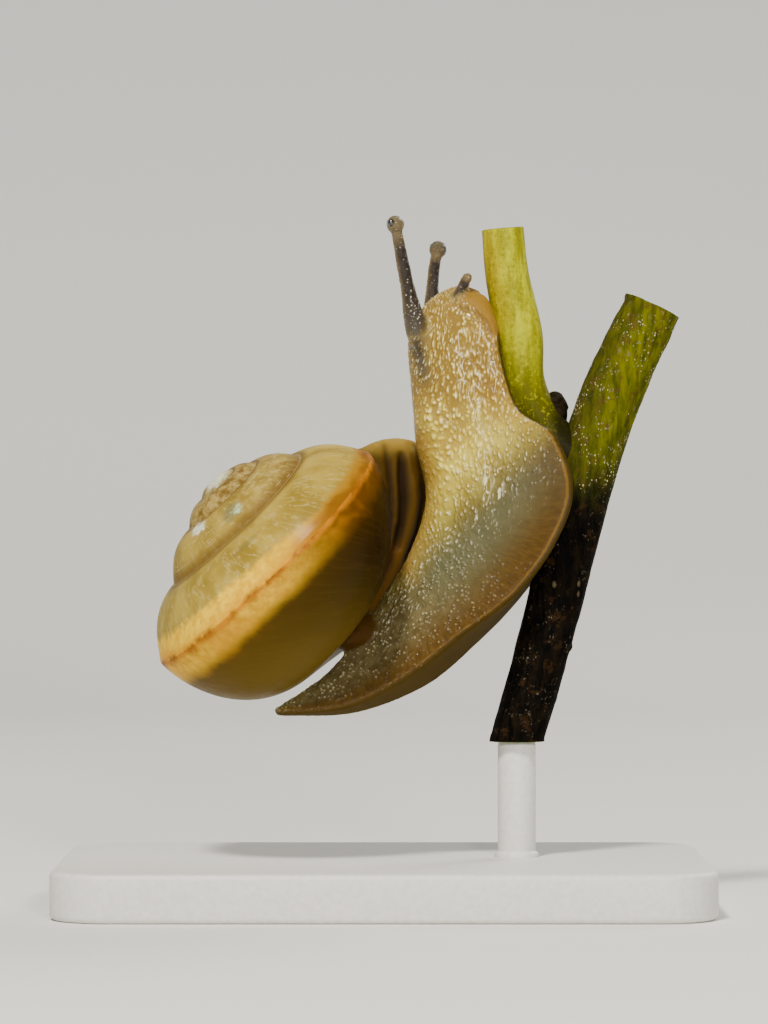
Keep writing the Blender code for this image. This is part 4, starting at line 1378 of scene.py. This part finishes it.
def stalk_finish():
    """Yellow-green leaf stalk, finely speckled, warm down one side, with painted shade darkening it toward
    its foot.
    """
    net = Finish("leaf_stalk_skin", Coat_Weight=0.0, Specular_IOR_Level=0.2, IOR=1.25,
                 Subsurface_Weight=0.2, Subsurface_Radius=(0.7, 1.0, 0.2), Subsurface_Scale=0.0005)
    place = net.place()
    x, y, z = net.split(place)
    streak = net.noise(net.vector(x, y, z * 0.18), 2.2, 3.0, 0.6)
    speck = net.noise(place, 4.5, 4.0, 0.75)
    left = (x - (6.4 + (33.4 - z) * 0.17)).fall(-0.9, 0.3)
    spots = net.cells(place, 1.5).fall(0.04, 0.10)
    shade = (x - 8.9 + (streak - 0.5) * 0.8).step(-0.7, 0.5) * z.fall(25.4, 27.4)
    sawn = sawn_end(net, place, STALK_LINE[0], STALK_RADII[0], (0.62, 0.66, 0.34),
                    ((0.34, 0.42, 0.10), (0.52, 0.57, 0.20)), (0.15, 0.20, 0.01))
    tone = net.coats(
        net.colour(streak.step(0.32, 0.68), (0.21, 0.20, 0.0005), (0.40, 0.40, 0.001)),
        (left * 0.35 * z.step(28.0, 31.5), (0.33, 0.16, 0.008)),
        # painted shade darkening the stalk toward its foot
        (z.fall(25.6, 30.8) * 0.96, (0.050, 0.048, 0.002)),
        (speck.step(0.54, 0.64) * 0.35, (0.56, 0.54, 0.01)),
        (speck.fall(0.36, 0.45) * 0.5, (0.10, 0.085, 0.002)),
        (spots * 0.7, (0.10, 0.045, 0.012)),
        # painted shade on the right side by the foot
        (shade * 0.93, (0.008, 0.007, 0.002)),
        (net.mask("run").fall(0.0010, 0.0030), sawn),
    )
    bump = net.bump(streak * 0.5 + speck * 0.4 + spots * -0.4, 0.00007, 0.6)
    return net.set(Base_Color=tone, Normal=bump, Roughness=speck.step(0.3, 0.7, 0.38, 0.55))


def bud_piece():
    """The dark bud in the angle of the leaf stalk, wrapped in overlapping scales."""
    rings, around = 40, 48

    def scales(part, turn):
        return 0.88 + 0.12 * ((part * 3.6 + math.cos(turn * 2.0) * 0.35) % 1.0) ** 1.6

    reach, aside, up = BUD_RADII
    points = lump(BUD_AT, (reach, 0.0, 0.0), (0.0, aside, 0.0), (0.0, 0.0, up), rings, around, scales)
    mesh = mesh_of("axil_bud", np.array(points) * MM, rings_to_faces(rings - 1, around))
    mesh.shade_smooth()
    net = Finish("bud_scales", Coat_Weight=0.0, Specular_IOR_Level=0.15, IOR=1.2)
    grain = net.noise(net.place(), 4.0, 4.0, 0.65)
    tone = net.colour(grain.step(0.3, 0.7), (0.003, 0.002, 0.001), (0.016, 0.010, 0.004))
    rough = grain.step(0.3, 0.7, 0.4, 0.7)
    finish = net.set(Base_Color=tone, Normal=net.bump(grain, 0.00006, 0.7), Roughness=rough)
    settle(add_piece("axil_bud", mesh, finish), "bark", "perch_bud")


def lichen_finish():
    net = Finish("lichen_crust", Roughness=0.9)
    grain = net.noise(net.place(), 6.0, 3.0)
    tone = net.colour(grain.step(0.3, 0.7), (0.16, 0.15, 0.05), (0.40, 0.39, 0.20))
    return net.set(Base_Color=tone, Normal=net.bump(grain, 0.00004, 0.6))


def lichen_piece(stem):
    """Small pale crusts scattered on the upper half of the stem's bark."""
    net = Shaper("lichen_scatter", {
        "Crusts per area": 15.0, "Crust size": 0.055, "Lowest": 20.0, "Highest": 31.0, "Seed": 11})
    size = net.sizes
    bark = net.add("GeometryNodeTransform", {"Geometry": net.geometry, "Scale": (1 / MM, 1 / MM, 1 / MM)})
    _, _, z = net.split(net.position())
    patch = net.noise(net.position(), 0.75, 3.0, 0.6).step(0.50, 0.60)
    where = patch * (z - size["Lowest"]).step(0.0, 5.0) * (size["Highest"] - z).step(0.0, 0.5)
    spots = net.tree.nodes.new("GeometryNodeDistributePointsOnFaces")
    spots.distribute_method = "POISSON"
    for socket, value in (
        ("Mesh", bark), ("Distance Min", 0.10), ("Density Max", size["Crusts per area"]),
        ("Density Factor", where), ("Seed", size["Seed"]),
    ):
        net.feed(spots.inputs[socket], value)
    spread = net.add("FunctionNodeRandomValue", {2: 0.35, 3: 1.0, "Seed": size["Seed"]}, out=1)
    width = spread * size["Crust size"]
    blob = net.add("GeometryNodeMeshIcoSphere", {"Radius": 1.0, "Subdivisions": 1})
    blob = net.raise_skin(blob, (net.noise(net.position(), 2.5, 1.0) - 0.5) * 0.8)
    crusts = net.add("GeometryNodeInstanceOnPoints", {
        "Points": Wire(net, spots.outputs["Points"]), "Rotation": Wire(net, spots.outputs["Rotation"]),
        "Instance": blob, "Scale": net.vector(width, width * 1.3, width * 0.45)})
    net.close(net.add("GeometryNodeRealizeInstances", {"Geometry": crusts}), lichen_finish())
    piece = net.run(add_piece("lichen_seed", stem.data.copy()), "stem_lichen")
    return settle(piece, "bark")


def perch_pieces():
    stem = limb_piece("stem_length", STEM_LINE, STEM_RADII, bark_finish(), {
        "Rib depth": 0.22, "Rib size": 1.1, "Knob height": 0.10, "Saw height": STEM_FOOT_Z})
    settle(stem, "bark", "perch_stem")
    stalk = limb_piece("leaf_stalk", STALK_LINE, STALK_RADII, stalk_finish(), {
        "Rib depth": 0.08, "Rib size": 1.3, "Knob height": 0.02, "Saw height": 0.0})
    settle(stalk, "stalk", "perch_leaf_stalk")
    bud_piece()
    lichen_piece(stem)


# ---------------------------------------------------------------- stand, floor, light, camera

def stand_finish():
    net = Finish("stand_satin", Coat_Weight=0.0)
    place = net.place()
    grain = net.noise(place, 3.5, 4.0, 0.6)
    tone = net.colour(grain.step(0.25, 0.75), (0.60, 0.59, 0.56), (0.68, 0.67, 0.645))
    bump = net.bump(net.noise(place, 14.0, 2.0), 0.00002, 0.35)
    return net.set(Base_Color=tone, Normal=bump, Roughness=grain.step(0.3, 0.7, 0.46, 0.56))


def slab_mesh():
    """The flat base, with round corners and softened edges."""
    bm = bmesh.new()
    bmesh.ops.create_cube(bm, size=1.0)
    bmesh.ops.scale(bm, vec=BASE_SIZE, verts=bm.verts)
    bmesh.ops.translate(bm, vec=(0.0, 0.0, BASE_SIZE[2] / 2), verts=bm.verts)

    def rise(edge):
        return abs(edge.verts[0].co.z - edge.verts[1].co.z)

    upright = [edge for edge in bm.edges if rise(edge) > 1.0]
    bmesh.ops.bevel(bm, geom=upright, offset=BASE_CORNER, segments=14, affect="EDGES", profile=0.5)
    rims = [edge for edge in bm.edges if rise(edge) < 1e-4 and edge.calc_face_angle(0.0) > 0.5]
    bmesh.ops.bevel(bm, geom=rims, offset=BASE_SOFTNESS, segments=5, affect="EDGES", profile=0.5)
    return carved("stand_slab", bm)


def post_mesh():
    """The rod, with a low collar where it is let into the base."""
    around = 64
    floor, top = BASE_SIZE[2], STEM_FOOT_Z
    profile = (
        (1.0, floor - 0.05), (1.16, floor - 0.02), (1.16, floor + 0.18), (1.08, floor + 0.28),
        (1.0, floor + 0.34), (1.0, top - 0.25), (0.97, top - 0.08), (0.9, top + 0.01),
    )
    points = turned([(ROD_RADIUS * radius, z) for radius, z in profile], around, ROD_X, STEM_LINE[-1][1])
    mesh = mesh_of("stand_post", np.array(points) * MM, rings_to_faces(len(profile), around))
    mesh.shade_smooth()
    return mesh


def stand_pieces():
    """The flat base, and the rod let into it and into the stem's foot."""
    finish = stand_finish()
    for name, mesh, crease, node in (
        ("stand_slab", slab_mesh(), 50, "stand_base"), ("stand_post", post_mesh(), 40, "stand_rod"),
    ):
        mesh.set_sharp_from_angle(angle=math.radians(crease))
        settle(add_piece(name, mesh, finish), "stand", node)


def floor_piece():
    """A wide pale floor that sweeps up softly all round."""
    around, steps = 96, 16
    profile = [(0.001, 0.0), (0.15, 0.0), (0.3, 0.0)]
    for i in range(1, steps + 1):
        angle = math.radians(90 * i / steps)
        profile.append((0.3 + 1.4 * math.sin(angle), 1.2 - 1.2 * math.cos(angle)))
    faces = rings_to_faces(len(profile), around, closed_ends=False)
    mesh = mesh_of("pale_floor", turned(profile, around), faces + [tuple(range(around))])
    mesh.shade_smooth()
    if mesh.polygons[0].normal.z < 0:
        mesh.flip_normals()
    net = Finish("pale_floor", Roughness=0.75, Specular_IOR_Level=0.2)
    tone = net.colour(net.noise(net.place(), 0.004, 2.0), (0.70, 0.70, 0.665), (0.73, 0.73, 0.70))
    add_piece("pale_floor", mesh, net.set(Base_Color=tone))


def lights():
    """A warm key, a small front spark, a rim light and a wash on the wall, in a dim room."""
    world = bpy.data.worlds.new("soft_room")
    world.use_nodes = True
    room = world.node_tree.nodes["Background"]
    room.inputs["Color"].default_value = (1.0, 0.98, 0.94, 1.0)
    room.inputs["Strength"].default_value = 0.22
    bpy.context.scene.world = world
    for name, place, aim, size, power, tint in (
        ("key_box", (-0.10, -0.26, 0.42), (0.0, 0.0, 0.02), 0.07, 3.6, (1.0, 0.95, 0.86)),
        ("front_spark", (0.07, -0.36, 0.12), (0.003, 0.0, 0.022), 0.035, 0.9, (1.0, 0.97, 0.92)),
        ("rim_box", (0.22, 0.26, 0.26), (0.0, 0.0, 0.02), 0.16, 1.0, (1.0, 0.98, 0.94)),
        ("wall_wash", (0.0, 0.30, 0.70), (0.0, 1.7, 0.55), 0.50, 9.0, (1.0, 0.99, 0.96)),
    ):
        lamp = bpy.data.lights.new(name, "AREA")
        lamp.shape = "SQUARE"
        lamp.size = size
        lamp.energy = power
        lamp.color = tint
        holder = set_out(name, lamp)
        holder.location = place
        holder.rotation_euler = (Vector(aim) - Vector(place)).to_track_quat("-Z", "Y").to_euler()
        holder.visible_camera = False


def camera():
    """Level view of the right side, at the object's own height."""
    lens = bpy.data.cameras.new("view")
    lens.sensor_width = SENSOR
    lens.lens = SENSOR * VIEW_DISTANCE / VIEW_HEIGHT
    lens.clip_start = 0.005
    lens.clip_end = 20.0
    holder = set_out("view", lens)
    holder.location = (0.0, -VIEW_DISTANCE * MM, VIEW_MIDDLE * MM)
    holder.rotation_euler = (math.radians(90.0), 0.0, 0.0)
    bpy.context.scene.camera = holder


camera()
floor_piece()
lights()
shell_piece()
eye_pieces(skin_piece())
perch_pieces()
stand_pieces()
